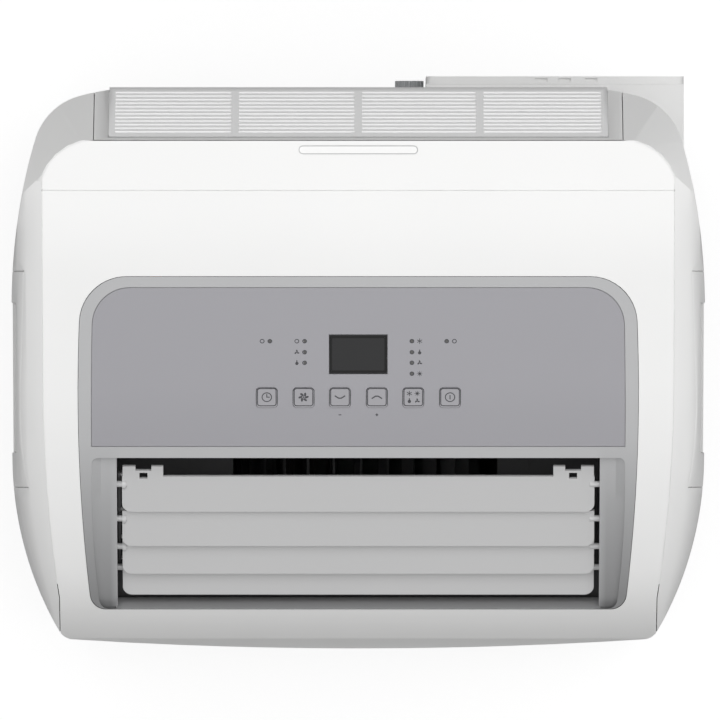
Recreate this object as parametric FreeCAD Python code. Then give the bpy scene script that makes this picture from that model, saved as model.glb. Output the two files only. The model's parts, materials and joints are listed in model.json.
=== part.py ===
"""Portable air conditioner: a tower on castors, with its controls and air louvres in a sloping top.

The frame has +Z up, the front towards -Y and its origin on the floor under the middle of the box.
"Depth" is measured forwards from the casing's back and "drop" downwards from its crown.
"""
import math
import os
from FreeCAD import Placement, Rotation, Vector
import Part

# ---- Driving dimensions, in millimetres and degrees -------------------------------------------

WIDTH = 440.0                 # across the side panels
DEPTH = 358.0                 # casing, back face to front face
CROWN_Z = 705.0               # flat strip along the top
FLANGE_OUT = 9.0              # exhaust flange stands this far behind the casing
WALL = 2.5                    # moulded panel thickness
SEAM = 0.5                    # shadow gap between neighbouring panels
FIT = 0.3                     # clearance round a piece set into a panel

CROWN_LENGTH = 50.0           # flat part of the crown, from the back
SHOULDER_RADIUS = 190.0       # crown rolling into the control slope
SLOPE_ANGLE = 21.0            # the control slope
BROW_RADIUS = 408.0           # louvre area
BROW_ANGLE = 40.0             # slope where the louvre area ends
NOSE_RADIUS = 145.6           # louvre area rolling into the upright front
NOSE_OVERHANG = 1.0           # the nose's own front line, ahead of the plan's bow
REAR_SLOPE_DEPTH = 34.3       # depth where the rear slope meets the crown
REAR_SLOPE_DROP = 64.0        # height of the rear slope

CORNER_ARCS = ((160.0, 15.0), (40.0, 59.0), (400.0, 16.0))   # rear corner: radius, turn
SIDE_END = 236.0              # depth where the straight side ends
SIDE_SWEEP = (225.0, 29.5)    # side closing in towards the front: radius, turn
FRONT_CORNER = (10.0, 56.7)   # radius, turn
ROLL_TILTS = (30.0, 52.0, 73.0)     # facets of the side panels' rolled edge
ROLL_SHARES = (0.5, 0.3, 0.2)       # their shares of its width
ROLL_LEAST = 6.0
ROLL_STEPS = 7                # straight stretches of the rolled edge along each arc

SIDE_SEAM_X = 200.0           # side panel seam
SIDE_SEAM_FRONT_X = 190.5
SIDE_SEAM_BEND = (190.0, 325.0)     # depths between which the seam moves in
REAR_SEAM_X = 167.5
TOP_CORNER = ((189.0, 42.0), 58.0)  # rounded rear corner of the top cover: a point on it, its end
CORNER_FACETS = 5             # facets of the rear corner's slope
CORNER_TILT = 52.0            # tilt of the last of them, beside the rolled edge
CORNER_LEDGE = 0.8            # from the top cover's seam to the slope
TOP_SEAM_DEPTH = 66.0         # top cover to front panel

WHEEL_R, WHEEL_WIDE = 16.0, 14.0          # castor wheels
WHEEL_CLEAR = 4.0             # from their tops to the base pan
BASE_Z = 2 * WHEEL_R + WHEEL_CLEAR        # underside of the base pan
BASE_FLOOR = 4.0
BASE_TOP_Z = 110.0            # the panels stand on the pan's rim

BEZEL_TOP, BEZEL_END = 120.5, 332.0       # depths
BEZEL_HALVES = (175.0, 177.3, 169.8)      # half widths at its top, middle and end
BEZEL_CORNER, BEZEL_LOW_CORNER = 30.0, 10.0
BEZEL_THICK = 6.0
OVERLAY_TOP, OVERLAY_END = 127.5, 228.0
OVERLAY_HALVES = (167.8, 169.0, 169.2)
OVERLAY_CORNER = 24.0
OVERLAY_SINK, OVERLAY_UNDER = 0.4, 2.2    # insets of its two faces
OUTLET_TOP, OUTLET_END = 235.4, 331.8     # louvre opening
OUTLET_HALVES = (169.2, 168.8, 164.6)
OUTLET_LEDGE = 5.7            # steep outer facet, plan width
LEDGE_DEEP = 5.6              # drop of the ledge beside the louvres
DUCT_HALF = 153.5             # throat of the outlet
DUCT_DEEP = 6.8
DUCT_FRONT = 324.8
DUCT_FRONT_DEEP = 28.0
FUNNEL_DEEP = 17.0
DUCT_WALL = 3.0
DUCT_BOTTOM_Z = 530.0

BLADE_EDGES = (269.3, 291.2, 309.0, 322.4)    # depth of each blade's lower edge
BLADE_SINKS = (12.5, 13.0, 14.0, 15.5)        # its drop under the casing surface
BLADE_ANGLE = 27.0
BLADE_CHORD = 25.3
BLADE_THICK = 2.2
BLADE_HALF = 150.2
BLADE_PIVOT = 5.9             # from the top edge, along the chord
BLADE_CORNER = 6.0
TAB_X = (124.0, 149.8)        # tabs behind the first blade's ends
TAB_LONG = 7.2
TAB_NOTCH_X = (131.5, 141.6)
PIN_R = 2.0
PIN_LONG = 6.0
CRANK_R = 7.0                 # throw of every crank
CRANK_PIN_R = 1.2
CRANK_LOBE_R = 3.2
CRANK_THICK = 2.4
RUN_FIT = 0.1                 # radial clearance of a pin in its bore
LINK_THICK = 1.6
LINK_GAP = 0.9                # link's distance from the blade ends
LINK_R = 2.6
MOTOR_R, MOTOR_LONG = 14.0, 19.0
CRANK_LEAN = -30.0            # direction of every crank at rest, above the rearward horizontal
DRIVE_ARM, DRIVE_LEAN = 40.0, -115.0     # from the second blade's pivot to the motor's shaft

KEY = 13.1                    # key cap, square
KEY_X = (-58.0, -34.7, -11.6, 11.8, 34.9, 58.2)
KEY_NAMES = ("timer", "fan", "down", "up", "mode", "power")
KEY_DEPTH = 197.2
KEY_PROUD, KEY_CAP = 0.6, 3.2
KEY_STEM = 5.0
KEY_CORNER = 2.2
KEY_TRAVEL = 0.5
KEY_GAP = 0.35
WINDOW_HALF_X, WINDOW_HALF_D = 18.4, 12.4
WINDOW_DEPTH = 169.6
BOARD_UNDER = 10.0            # circuit board under the casing surface
BOARD_THICK = 1.6
BOARD_HALF_X, BOARD_HALF_D = 72.0, 33.0
BOARD_DEPTH = 181.0
POST_R = 3.0
LIGHTS = ([(-56.1, 161.4), (56.0, 161.4)]
          + [(-33.7, d) for d in (161.4, 168.4, 175.1)]
          + [(33.9, d) for d in (161.4, 168.4, 175.1, 182.0)])
LIGHT_R = 0.9

HANDLE_SPAN = (117.0, 254.0)  # depths of the insert
POCKET_SPAN = (137.0, 232.0)  # depths of the finger pocket
HANDLE_BAND = (8.0, 92.0)     # insert: drops under the casing's slope there
POCKET_BAND = (16.0, 80.0)
HANDLE_INNER_X = 188.0
POCKET_INNER_X = 191.0

GRILLE_HALF = 154.0
GRILLE_RIM = 4.0
GRILLE_LOW_Z = 482.0
GRILLE_TOP_DEPTH = 32.0
GRILLE_THICK = 2.6
GRILLE_BARS = (-78.0, 0.0, 77.0)
BAR_WIDTH = 4.8
SLAT_PITCH = 4.3              # upwards, on the rear slope
SLAT_GAP = 2.2
SLOPE_MARGIN = 5.6            # upwards, from the slope's ends to its first and last slots
BACK_MARGIN = 8.0             # the same on the upright back
BACK_SLAT_PITCH = 7.4
BACK_SLAT_GAP = 4.4
FILTER_THICK = 3.4
LOW_GRILLE_Z = (128.0, 286.0)
LOW_GRILLE_HALF = 150.0
LOW_SLAT_PITCH = 9.6
LOW_SLAT_GAP = 5.4

EXHAUST_X = (43.6, 209.0)
EXHAUST_DEPTH = 50.0
EXHAUST_Z = 300.0
FLANGE_THICK = 5.0
COLLAR_DEEP = 4.0
COLLAR_WALL = 3.0
EXHAUST_BORE_R = 65.0
DUCT_SHEET = 3.0
LATCH_X = (117.5, 132.5, 149.6)
LATCH_WIDE, LATCH_DEEP = 8.0, 2.2
CAP_X, CAP_Z, CAP_R, CAP_OUT = 33.0, 329.0, 9.3, 7.6
CAP_FLUTES = 18
SPOUT_R, SPOUT_WALL = 6.0, 1.6
GLAND_X, GLAND_Z, GLAND_R = -125.0, 84.0, 9.0
SCREW_R = 4.2
SCREW_Z = (120.5, 296.0, 470.0)
SCREW_X = 158.0

TRAY_Z, TRAY_THICK, TRAY_RIM = 318.0, 4.0, 12.0
TRAY_BACK_Y = 119.0
EVAP_Y = (84.0, 110.0)
EVAP_HALF, EVAP_TOP_Z = 150.0, 590.0
COND_Y = (134.0, 160.0)
COND_HALF, COND_TOP_Z = 150.0, 290.0
SHEET = 2.5                   # blower housings
EVAP_FAN = (0.0, 426.0, 80.0)             # x, z, radius
EVAP_HOUSE_Y = (-116.0, -44.0)
EVAP_HOUSE_HALF = 112.0
COND_FAN = (57.0, 165.0, 80.0)
COND_HOUSE_Y = (60.0, 130.0)
COND_HOUSE_X = (-40.0, 150.0)
FAN_BLADES = 28
FAN_SWIRL = 12.0
FAN_MOTOR_R, FAN_MOTOR_LONG = 42.0, 46.0
FAN_SHAFT_R = 5.0
COMPRESSOR_AT = (-105.0, -66.0)
COMPRESSOR_R, COMPRESSOR_Z = 58.0, (58.0, 236.0)
FOOT_R, FOOT_RING = 9.0, 66.0
PIPE_R = 4.0
BOX_X, BOX_Y, BOX_Z = (112.0, 196.0), (-120.0, 10.0), (196.0, 317.7)

CASTOR_X, CASTOR_Y = 172.0, 126.0
AXLE_R = 3.0
TRAIL = 12.0
STEM_R, STEM_BOSS = 5.0, 6.0
CHEEK, CHEEK_GAP = 2.6, 1.0
YOKE = 2.4

# ---- Geometry helpers -------------------------------------------------------------------------

BACK_Y = (DEPTH - FLANGE_OUT) / 2.0       # the box is centred on the origin
rad = math.radians


def y_at(depth):
    """Y of a depth behind the casing's back."""
    return BACK_Y - depth


def trace(start, heading, steps):
    """Follow straight runs (length,) and arcs (radius, turn) from a start and heading."""
    runs = []
    x, y = start
    for step in steps:
        if len(step) == 1:
            end = (x + step[0] * math.cos(rad(heading)), y + step[0] * math.sin(rad(heading)))
            runs.append(("line", (x, y), end))
            x, y = end
            continue
        radius, turn = step
        centre = (x - radius * math.sin(rad(heading)), y + radius * math.cos(rad(heading)))
        runs.append(("arc", centre, radius, heading, heading + turn))
        heading += turn
        x, y = arc_point(runs[-1], heading)
    return runs


def arc_point(run, heading):
    """Point of an arc where its direction is the heading."""
    _, centre, radius = run[:3]
    return (centre[0] + radius * math.sin(rad(heading)), centre[1] - radius * math.cos(rad(heading)))


def run_ends(run):
    if run[0] == "line":
        return run[1], run[2]
    return arc_point(run, run[3]), arc_point(run, run[4])


def run_edges(runs, place):
    """Edges of traced runs, with place() turning a flat point into a Vector."""
    edges = []
    for run in runs:
        first, last = run_ends(run)
        if run[0] == "line":
            edges.append(Part.makeLine(place(first), place(last)))
        else:
            middle = arc_point(run, (run[3] + run[4]) / 2.0)
            edges.append(Part.Arc(place(first), place(middle), place(last)).toShape())
    return edges


def box(x0, x1, y0, y1, z0, z1):
    return Part.makeBox(x1 - x0, y1 - y0, z1 - z0, Vector(x0, y0, z0))


def rod(radius, start, direction, length):
    return Part.makeCylinder(radius, length, Vector(*start), Vector(*direction))


def tube(outer, inner, start, direction, length):
    return rod(outer, start, direction, length).cut(rod(inner, start, direction, length))


def prism(points, along):
    """Extrude a closed outline of points along a vector."""
    vectors = [Vector(*p) for p in points]
    return Part.Face(Part.makePolygon(vectors + vectors[:1])).extrude(Vector(*along))


def fuse(parts):
    solid = parts[0].fuse(parts[1:]) if len(parts) > 1 else parts[0]
    return solid.removeSplitter()


def cut(shape, tools):
    return shape.cut(Part.makeCompound(tools))


def mirrored(shape):
    return shape.mirror(Vector(0, 0, 0), Vector(1, 0, 0))


# ---- The casing's outer form ------------------------------------------------------------------

def top_runs(inset=0.0):
    """Side view of the crown, control slope, brow and nose, as depth and drop."""
    slope, brow = rad(SLOPE_ANGLE), rad(BROW_ANGLE)
    used = (CROWN_LENGTH + SHOULDER_RADIUS * math.sin(slope)
            + BROW_RADIUS * (math.sin(brow) - math.sin(slope)) + NOSE_RADIUS * (1 - math.sin(brow)))
    straight = (DEPTH + NOSE_OVERHANG - used) / math.cos(slope)
    return trace((-DEPTH, inset), 0.0, [
        (CROWN_LENGTH + DEPTH,), (SHOULDER_RADIUS - inset, SLOPE_ANGLE), (straight,),
        (BROW_RADIUS - inset, BROW_ANGLE - SLOPE_ANGLE), (NOSE_RADIUS - inset, 90.0 - BROW_ANGLE)])


def drop_at(depth, inset=0.0):
    """Drop of the casing surface at a depth."""
    for run in top_runs(inset):
        first, last = run_ends(run)
        if not first[0] - 1e-9 <= depth <= last[0] + 1e-9:
            continue
        if run[0] == "line":
            return first[1] + (last[1] - first[1]) * (depth - first[0]) / (last[0] - first[0])
        _, centre, radius = run[:3]
        return centre[1] - math.sqrt(max(radius ** 2 - (depth - centre[0]) ** 2, 0.0))
    raise ValueError("depth outside the casing")


def z_at(depth, inset=0.0):
    return CROWN_Z - drop_at(depth, inset)


def under_top(inset=0.0, x0=-WIDTH, along=(2 * WIDTH, 0, 0), lower=0.0):
    """Everything under the casing's top surface, extruded from x0."""
    def place(p):
        return Vector(x0, y_at(p[0]), CROWN_Z - p[1] - lower)
    runs = top_runs(inset)
    edges = run_edges(runs, place)
    back, front = edges[0].Vertexes[0].Point, place(run_ends(runs[-1])[1])
    low = -CROWN_Z
    corners = [front, Vector(x0, front.y, low), Vector(x0, back.y, low), back]
    edges += [Part.makeLine(a, b) for a, b in zip(corners, corners[1:])]
    return Part.Face(Part.Wire(edges)).extrude(Vector(*along))


def plan_runs(inset=0.0):
    """Right half of the plan outline, as x and depth, from the middle of the back."""
    corner_x = corner_d = heading = 0.0
    for radius, turn in CORNER_ARCS:
        corner_x += radius * (math.sin(rad(heading + turn)) - math.sin(rad(heading)))
        corner_d += radius * (math.cos(rad(heading)) - math.cos(rad(heading + turn)))
        heading += turn
    arcs = [(radius - inset, turn) for radius, turn in CORNER_ARCS]
    return trace((0.0, inset), 0.0, [
        (WIDTH / 2.0 - corner_x,), *arcs, (SIDE_END - corner_d,),
        (SIDE_SWEEP[0] - inset, SIDE_SWEEP[1]), (FRONT_CORNER[0] - inset, FRONT_CORNER[1])])


def half_width(depth):
    """Half width of the plan, held constant round the rear corner."""
    if depth <= SIDE_END:
        return WIDTH / 2.0
    radius, turn = SIDE_SWEEP
    reach = min(depth - SIDE_END, radius * math.sin(rad(turn)))
    return WIDTH / 2.0 - radius + math.sqrt(radius ** 2 - reach ** 2)


def inside_plan(inset=0.0, z0=0.0, z1=CROWN_Z + 10.0):
    """Upright prism of the casing's plan outline."""
    runs = plan_runs(inset)
    right = run_edges(runs, lambda p: Vector(p[0], y_at(p[1]), z0))
    left = run_edges(runs, lambda p: Vector(-p[0], y_at(p[1]), z0))
    end = run_ends(runs[-1])[1]
    bow = Part.Arc(Vector(end[0], y_at(end[1]), z0), Vector(0, y_at(DEPTH - inset), z0),
                   Vector(-end[0], y_at(end[1]), z0)).toShape()
    wire = Part.Wire(Part.__sortEdges__(right + left + [bow]))
    return Part.Face(wire).extrude(Vector(0, 0, z1 - z0))


def seam_x(depth):
    """Where the side panel meets the front panel."""
    start, end = SIDE_SEAM_BEND
    move = SIDE_SEAM_X - SIDE_SEAM_FRONT_X
    radius = ((end - start) ** 2 + move ** 2) / (2.0 * move)
    reach = min(max(depth - start, 0.0), end - start)
    return SIDE_SEAM_X - radius + math.sqrt(radius ** 2 - reach ** 2)


def roll_facet(index, shift=(0.0, 0.0, 0.0)):
    """Everything under one facet of the rolled side edge, over the full width."""
    tilt = math.tan(rad(ROLL_TILTS[index]))
    across = sum(ROLL_SHARES[:index])
    down = sum(s * math.tan(rad(a)) for s, a in zip(ROLL_SHARES[:index], ROLL_TILTS[:index]))
    points = [(-DEPTH, 0.0), (-DEPTH / 2, 0.0), (0.0, 0.0)]
    for run in top_runs()[1:]:
        first, last = run_ends(run)
        if run[0] == "line":
            points += [first, tuple((a + b) / 2 for a, b in zip(first, last))]
        else:
            turns = [run[3] + (run[4] - run[3]) * i / ROLL_STEPS for i in range(ROLL_STEPS)]
            points += [arc_point(run, turn) for turn in turns]
    front = (DEPTH + NOSE_OVERHANG, drop_at(DEPTH + NOSE_OVERHANG))
    points.append(front)

    def place(point):
        depth, fall = point
        roll = max(half_width(depth) - seam_x(depth), ROLL_LEAST)
        x = seam_x(depth) + across * roll
        z = CROWN_Z - fall - down * roll + tilt * x
        return Vector(-WIDTH + shift[0], y_at(depth) + shift[1], z + tilt * WIDTH + shift[2])
    ridge = [place(p) for p in points]
    a, b = ridge[0], ridge[-1]
    outline = ridge + [Vector(b.x, b.y, -CROWN_Z), Vector(a.x, a.y, -CROWN_Z)]
    return prism(outline, (2 * WIDTH, 0, -2 * WIDTH * tilt))


def rear_wedge(inset=0.0):
    """What the rear slope takes off the top rear edge."""
    angle = math.atan2(REAR_SLOPE_DROP, REAR_SLOPE_DEPTH)
    off_y, off_z = -inset * math.sin(angle), -inset * math.cos(angle)
    run = 3.0                 # the wedge runs this many slopes past both ends of the slope
    top = (y_at((1 + run) * REAR_SLOPE_DEPTH) + off_y, CROWN_Z + run * REAR_SLOPE_DROP + off_z)
    foot = (y_at(-run * REAR_SLOPE_DEPTH) + off_y, CROWN_Z - (1 + run) * REAR_SLOPE_DROP + off_z)
    return prism([(-WIDTH, *top), (-WIDTH, *foot), (-WIDTH, foot[0], top[1])], (2 * WIDTH, 0, 0))


def corner_facets(inset=0.0):
    """What the right rear corner's slope takes off, in facets round the top cover's corner."""
    seam = Part.Arc(Vector(REAR_SEAM_X, y_at(REAR_SLOPE_DEPTH), CROWN_Z),
                    Vector(TOP_CORNER[0][0], y_at(TOP_CORNER[0][1]), CROWN_Z),
                    Vector(SIDE_SEAM_X, y_at(TOP_CORNER[1]), CROWN_Z)).toShape()
    points = seam.discretize(CORNER_FACETS + 1)
    rear_tilt = math.degrees(math.atan2(REAR_SLOPE_DROP, REAR_SLOPE_DEPTH))
    blocks = []
    for index, (start, end) in enumerate(zip(points, points[1:])):
        tilt = rad(rear_tilt + (CORNER_TILT - rear_tilt) * (index + 1) / CORNER_FACETS)
        along = (end - start).normalize()
        outward = Vector(-along.y, along.x, 0.0)
        normal = outward * math.sin(tilt) + Vector(0, 0, math.cos(tilt))
        block = Part.makeBox(2 * DEPTH, 2 * DEPTH, DEPTH, Vector(-DEPTH, -DEPTH, 0.0))
        block.Placement = Placement(start + outward * CORNER_LEDGE - normal * inset,
                                    Rotation(along, normal.cross(along), normal, "ZXY"))
        blocks.append(block)
    return blocks


def casing(inset=0.0, floor=BASE_TOP_Z + 0.4):
    """The closed outer form, or its inner form for a wall of the inset."""
    body = inside_plan(inset, floor).common(under_top(inset))
    for index in range(len(ROLL_TILTS)):
        facet = roll_facet(index, (-0.5 * inset, 0.8 * inset, -0.9 * inset))
        body = body.common(facet).common(mirrored(facet))
    corners = corner_facets(inset)
    return cut(body, [rear_wedge(inset)] + corners + [mirrored(b) for b in corners]).removeSplitter()


def middle_region(grow=0.0):
    """Upright prism between the side panels' seams."""
    start, end = SIDE_SEAM_BEND
    def place(x, depth, side):
        return Vector(side * (x + grow), y_at(depth), 0.0)
    halves = []
    for side in (1, -1):
        def at(x, depth):
            return place(x, depth, side)
        halves.append([
            Part.makeLine(at(REAR_SEAM_X, -DEPTH), at(REAR_SEAM_X, REAR_SLOPE_DEPTH)),
            Part.Arc(at(REAR_SEAM_X, REAR_SLOPE_DEPTH), at(*TOP_CORNER[0]),
                     at(SIDE_SEAM_X, TOP_CORNER[1])).toShape(),
            Part.makeLine(at(SIDE_SEAM_X, TOP_CORNER[1]), at(SIDE_SEAM_X, start)),
            Part.Arc(at(SIDE_SEAM_X, start), at(seam_x((start + end) / 2), (start + end) / 2),
                     at(SIDE_SEAM_FRONT_X, end)).toShape(),
            Part.makeLine(at(SIDE_SEAM_FRONT_X, end), at(SIDE_SEAM_FRONT_X, 2 * DEPTH))])
    caps = [Part.makeLine(place(REAR_SEAM_X, -DEPTH, 1), place(REAR_SEAM_X, -DEPTH, -1)),
            Part.makeLine(place(SIDE_SEAM_FRONT_X, 2 * DEPTH, 1),
                          place(SIDE_SEAM_FRONT_X, 2 * DEPTH, -1))]
    wire = Part.Wire(Part.__sortEdges__(halves[0] + halves[1] + caps))
    return Part.Face(wire).extrude(Vector(0, 0, CROWN_Z + 50.0))


def depth_slab(d0, d1):
    return box(-WIDTH, WIDTH, y_at(d1), y_at(d0), 0.0, CROWN_Z + 50.0)


def layer(upper, lower):
    """The stretch between two insets of the casing's top surface."""
    return under_top(upper).cut(under_top(lower))


def plan_prism(top, end, halves, corner, low_corner, grow=0.0):
    """Upright prism of a panel outline with bowed sides and rounded corners."""
    top, end = top - grow, end + grow
    wide = [half + grow for half in halves]
    def at(side, index):
        return Vector(side * wide[index], y_at(top + (end - top) * index / 2.0), 0.0)
    edges = [Part.makeLine(at(-1, 0), at(1, 0)), Part.Arc(at(1, 0), at(1, 1), at(1, 2)).toShape(),
             Part.makeLine(at(1, 2), at(-1, 2)), Part.Arc(at(-1, 2), at(-1, 1), at(-1, 0)).toShape()]
    solid = Part.Face(Part.Wire(edges)).extrude(Vector(0, 0, CROWN_Z + 20.0))
    middle_y = y_at((top + end) / 2.0)
    for rear, radius in ((True, corner), (False, low_corner)):
        if radius <= 0.0:
            continue
        edges = [e for e in solid.Edges if upright(e) and (e.BoundBox.YMin > middle_y) == rear]
        solid = solid.makeFillet(radius, edges)
    return solid


def upright(edge):
    box_of = edge.BoundBox
    return box_of.ZLength > 1.0 and box_of.XLength < 1e-3 and box_of.YLength < 1e-3


def slope_at(depth):
    """Slope of the casing surface at a depth, in degrees."""
    step = 0.05
    return math.degrees(math.atan2(drop_at(depth + step) - drop_at(depth - step), 2 * step))


def on_slope(shape, x, depth):
    """Move a shape made round the origin, +Z outwards, onto the casing surface."""
    shape.rotate(Vector(0, 0, 0), Vector(1, 0, 0), slope_at(depth))
    shape.translate(Vector(x, y_at(depth), z_at(depth)))
    return shape


def slab(half_x, half_y, z0, z1, corner=0.0):
    """Rectangular block round the origin with rounded upright edges."""
    block = box(-half_x, half_x, -half_y, half_y, z0, z1)
    if corner:
        block = block.makeFillet(corner, [e for e in block.Edges if upright(e)])
    return block


# ---- Casing panels ----------------------------------------------------------------------------

def bezel_outline(grow=0.0):
    return plan_prism(BEZEL_TOP, BEZEL_END, BEZEL_HALVES, BEZEL_CORNER, BEZEL_LOW_CORNER, grow)


def overlay_outline(grow=0.0):
    return plan_prism(OVERLAY_TOP, OVERLAY_END, OVERLAY_HALVES, OVERLAY_CORNER, 0.0, grow)


def exhaust_block(grow=0.0):
    size = EXHAUST_X[1] - EXHAUST_X[0]
    return box(EXHAUST_X[0] - grow, EXHAUST_X[1] + grow, y_at(EXHAUST_DEPTH) - grow,
               BACK_Y + FLANGE_OUT, EXHAUST_Z - grow, EXHAUST_Z + size + grow)


def slanted_block(inner_x, span, band, grow=0.0):
    """Block at the right side that follows the handle's slope: depths in span, drops in band."""
    d0, d1 = HANDLE_SPAN
    slope = (drop_at(d1) - drop_at(d0)) / (d1 - d0)
    ends = [depth + side * grow for depth, side in zip(span, (-1, 1))]
    def at(depth, under):
        return inner_x - grow, y_at(depth), z_at(d0) - slope * (depth - d0) - under
    low, high = band[1] + grow, band[0] - grow
    return prism([at(ends[0], high), at(ends[1], high), at(ends[1], low), at(ends[0], low)], (WIDTH, 0, 0))


def handle_block(grow=0.0):
    """Region of the right handle insert."""
    return slanted_block(HANDLE_INNER_X, HANDLE_SPAN, HANDLE_BAND, grow)


def handle_insert():
    """Right handle: an insert with a finger pocket open to the side."""
    pocket = slanted_block(POCKET_INNER_X, POCKET_SPAN, POCKET_BAND)
    return casing().common(handle_block()).cut(pocket)


def grille_profile(inset, low_z):
    """Side outline of the upright back and the rear slope, from an inset to its inner face."""
    angle = math.atan2(REAR_SLOPE_DROP, REAR_SLOPE_DEPTH)
    def slope(t, depth):
        fall = (REAR_SLOPE_DEPTH - depth) * math.tan(angle) + t / math.cos(angle)
        return (y_at(depth), CROWN_Z - fall)
    def knee(t):
        return slope(t, t)
    t0, t1 = inset, inset + GRILLE_THICK
    return [(BACK_Y - t0, low_z), knee(t0), slope(t0, GRILLE_TOP_DEPTH),
            slope(t1, GRILLE_TOP_DEPTH), knee(t1), (BACK_Y - t1, low_z)]


def casing_shells():
    """Front panel, top cover, rear cover and the two side panels."""
    shell = casing().cut(casing(WALL, BASE_TOP_Z - 20.0))
    middle = shell.common(middle_region(-SEAM / 2))
    sides = shell.cut(middle_region(SEAM / 2))
    half = SEAM / 2
    front = middle.common(depth_slab(TOP_SEAM_DEPTH + half, 2 * DEPTH)).cut(bezel_outline(FIT))
    top = middle.common(depth_slab(REAR_SLOPE_DEPTH + half, TOP_SEAM_DEPTH - half))
    scoop = on_slope(slab(38.0, 3.0, -1.2, 5.0, 2.9), 0.0, REAR_SLOPE_DEPTH + 6.0)
    rear = middle.common(depth_slab(-DEPTH, REAR_SLOPE_DEPTH - half))
    rear = rear.common(box(-REAR_SEAM_X, REAR_SEAM_X, -WIDTH, WIDTH, 0, CROWN_Z))
    opening = GRILLE_HALF + GRILLE_RIM + FIT
    upper = box(-opening, opening, y_at(GRILLE_TOP_DEPTH + FIT), WIDTH, GRILLE_LOW_Z - FIT, CROWN_Z + 1)
    low = LOW_GRILLE_HALF + GRILLE_RIM + FIT
    lower = box(-low, low, 0, WIDTH, LOW_GRILLE_Z[0] - FIT, LOW_GRILLE_Z[1] + FIT)
    spout_hole = rod(SPOUT_R + FIT, (CAP_X, BACK_Y - 40, CAP_Z), (0, 1, 0), 80)
    screws = [rod(SCREW_R + FIT, (s * SCREW_X, BACK_Y - 1.2, z), (0, 1, 0), 20)
              for z in SCREW_Z for s in (-1, 1) if s < 0 or not in_exhaust(z)]
    rear = cut(rear, [upper, lower, exhaust_block(FIT), spout_hole] + screws)
    handles = handle_block(FIT)
    sides = cut(sides, [handles, mirrored(handles), exhaust_block(FIT)])
    left, right = sorted(sides.Solids, key=lambda s: s.CenterOfMass.x)[::len(sides.Solids) - 1]
    return {"front_panel": front, "top_cover": top.cut(scoop), "rear_cover": rear,
            "side_panel_left": left, "side_panel_right": right}


def in_exhaust(z):
    return EXHAUST_Z - SCREW_R < z < EXHAUST_Z + EXHAUST_X[1] - EXHAUST_X[0] + SCREW_R


def cover_screws():
    """Pan-head screws of the rear cover, with their shanks."""
    screws = []
    for z in SCREW_Z:
        for side in (-1, 1):
            if side > 0 and in_exhaust(z):
                continue
            head = rod(SCREW_R, (side * SCREW_X, BACK_Y - 1.0, z), (0, 1, 0), 1.0)
            slot = box(side * SCREW_X - 0.5, side * SCREW_X + 0.5, BACK_Y - 0.5, BACK_Y, z - 3, z + 3)
            cross = box(side * SCREW_X - 3, side * SCREW_X + 3, BACK_Y - 0.5, BACK_Y, z - 0.5, z + 0.5)
            screws.append(head.cut(slot).cut(cross))
    return Part.makeCompound(screws)


def base_pan():
    """Tray that carries the machine, with a boss for each castor stem."""
    pan = inside_plan(0.0, BASE_Z, BASE_TOP_Z).cut(inside_plan(WALL, BASE_Z + BASE_FLOOR, CROWN_Z))
    bosses = [rod(STEM_R + STEM_BOSS, (x, y, BASE_Z + BASE_FLOOR - 1), (0, 0, 1), 9.0)
              for _, x, y in castor_spots()]
    pan = pan.fuse(bosses)
    holes = [rod(STEM_R + RUN_FIT, (x, y, BASE_Z - 1), (0, 0, 1), 20.0) for _, x, y in castor_spots()]
    gland = rod(GLAND_R - 2.0 + FIT, (GLAND_X, BACK_Y - 20, GLAND_Z), (0, 1, 0), 40)
    return cut(pan, holes + [gland]).removeSplitter()


# ---- Rear grilles and what passes the back ----------------------------------------------------

def columns(half):
    """Slot columns between the grille's upright bars."""
    edges = [-half]
    for bar in GRILLE_BARS:
        edges += [bar - BAR_WIDTH / 2, bar + BAR_WIDTH / 2]
    edges.append(half)
    return list(zip(edges[::2], edges[1::2]))


def grille_hinge():
    """Place of the tilt axis: the middle of the grille's half-round lower edge."""
    return BACK_Y - GRILLE_THICK / 2, GRILLE_LOW_Z + GRILLE_THICK / 2


def intake_grille():
    """Tilt-out grille over the back and the rear slope."""
    outer = GRILLE_HALF + GRILLE_RIM
    hinge_y, hinge_z = grille_hinge()
    plate = prism([(-outer, *p) for p in grille_profile(0.0, hinge_z)], (2 * outer, 0, 0))
    plate = plate.fuse(rod(GRILLE_THICK / 2, (-outer, hinge_y, hinge_z), (1, 0, 0), 2 * outer))
    knee_z = CROWN_Z - REAR_SLOPE_DROP
    rows = [(knee_z + SLOPE_MARGIN, CROWN_Z - SLOPE_MARGIN, SLAT_PITCH, SLAT_GAP),
            (GRILLE_LOW_Z + BACK_MARGIN, knee_z - BACK_MARGIN, BACK_SLAT_PITCH, BACK_SLAT_GAP)]
    slots = []
    for x0, x1 in columns(GRILLE_HALF):
        for low, high, pitch, gap in rows:
            for i in range(int((high - low) // pitch)):
                z = low + i * pitch
                slots.append(box(x0, x1, y_at(DEPTH / 2), BACK_Y + GRILLE_THICK, z, z + gap))
    return cut(plate, slots)


def intake_filter():
    """Filter mat held behind the grille's upright part."""
    y1 = BACK_Y - GRILLE_THICK - FIT
    return box(-GRILLE_HALF, GRILLE_HALF, y1 - FILTER_THICK, y1,
               GRILLE_LOW_Z + 4.0, CROWN_Z - REAR_SLOPE_DROP - 10.0)


def condenser_grille():
    outer = LOW_GRILLE_HALF + GRILLE_RIM
    plate = box(-outer, outer, BACK_Y - GRILLE_THICK, BACK_Y, *LOW_GRILLE_Z)
    slots = []
    for x0, x1 in columns(LOW_GRILLE_HALF):
        z = LOW_GRILLE_Z[0] + 7.0
        while z + LOW_SLAT_GAP < LOW_GRILLE_Z[1] - 6.0:
            slots.append(box(x0, x1, BACK_Y - 10, BACK_Y + 5, z, z + LOW_SLAT_GAP))
            z += LOW_SLAT_PITCH
    return cut(plate, slots)


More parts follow.
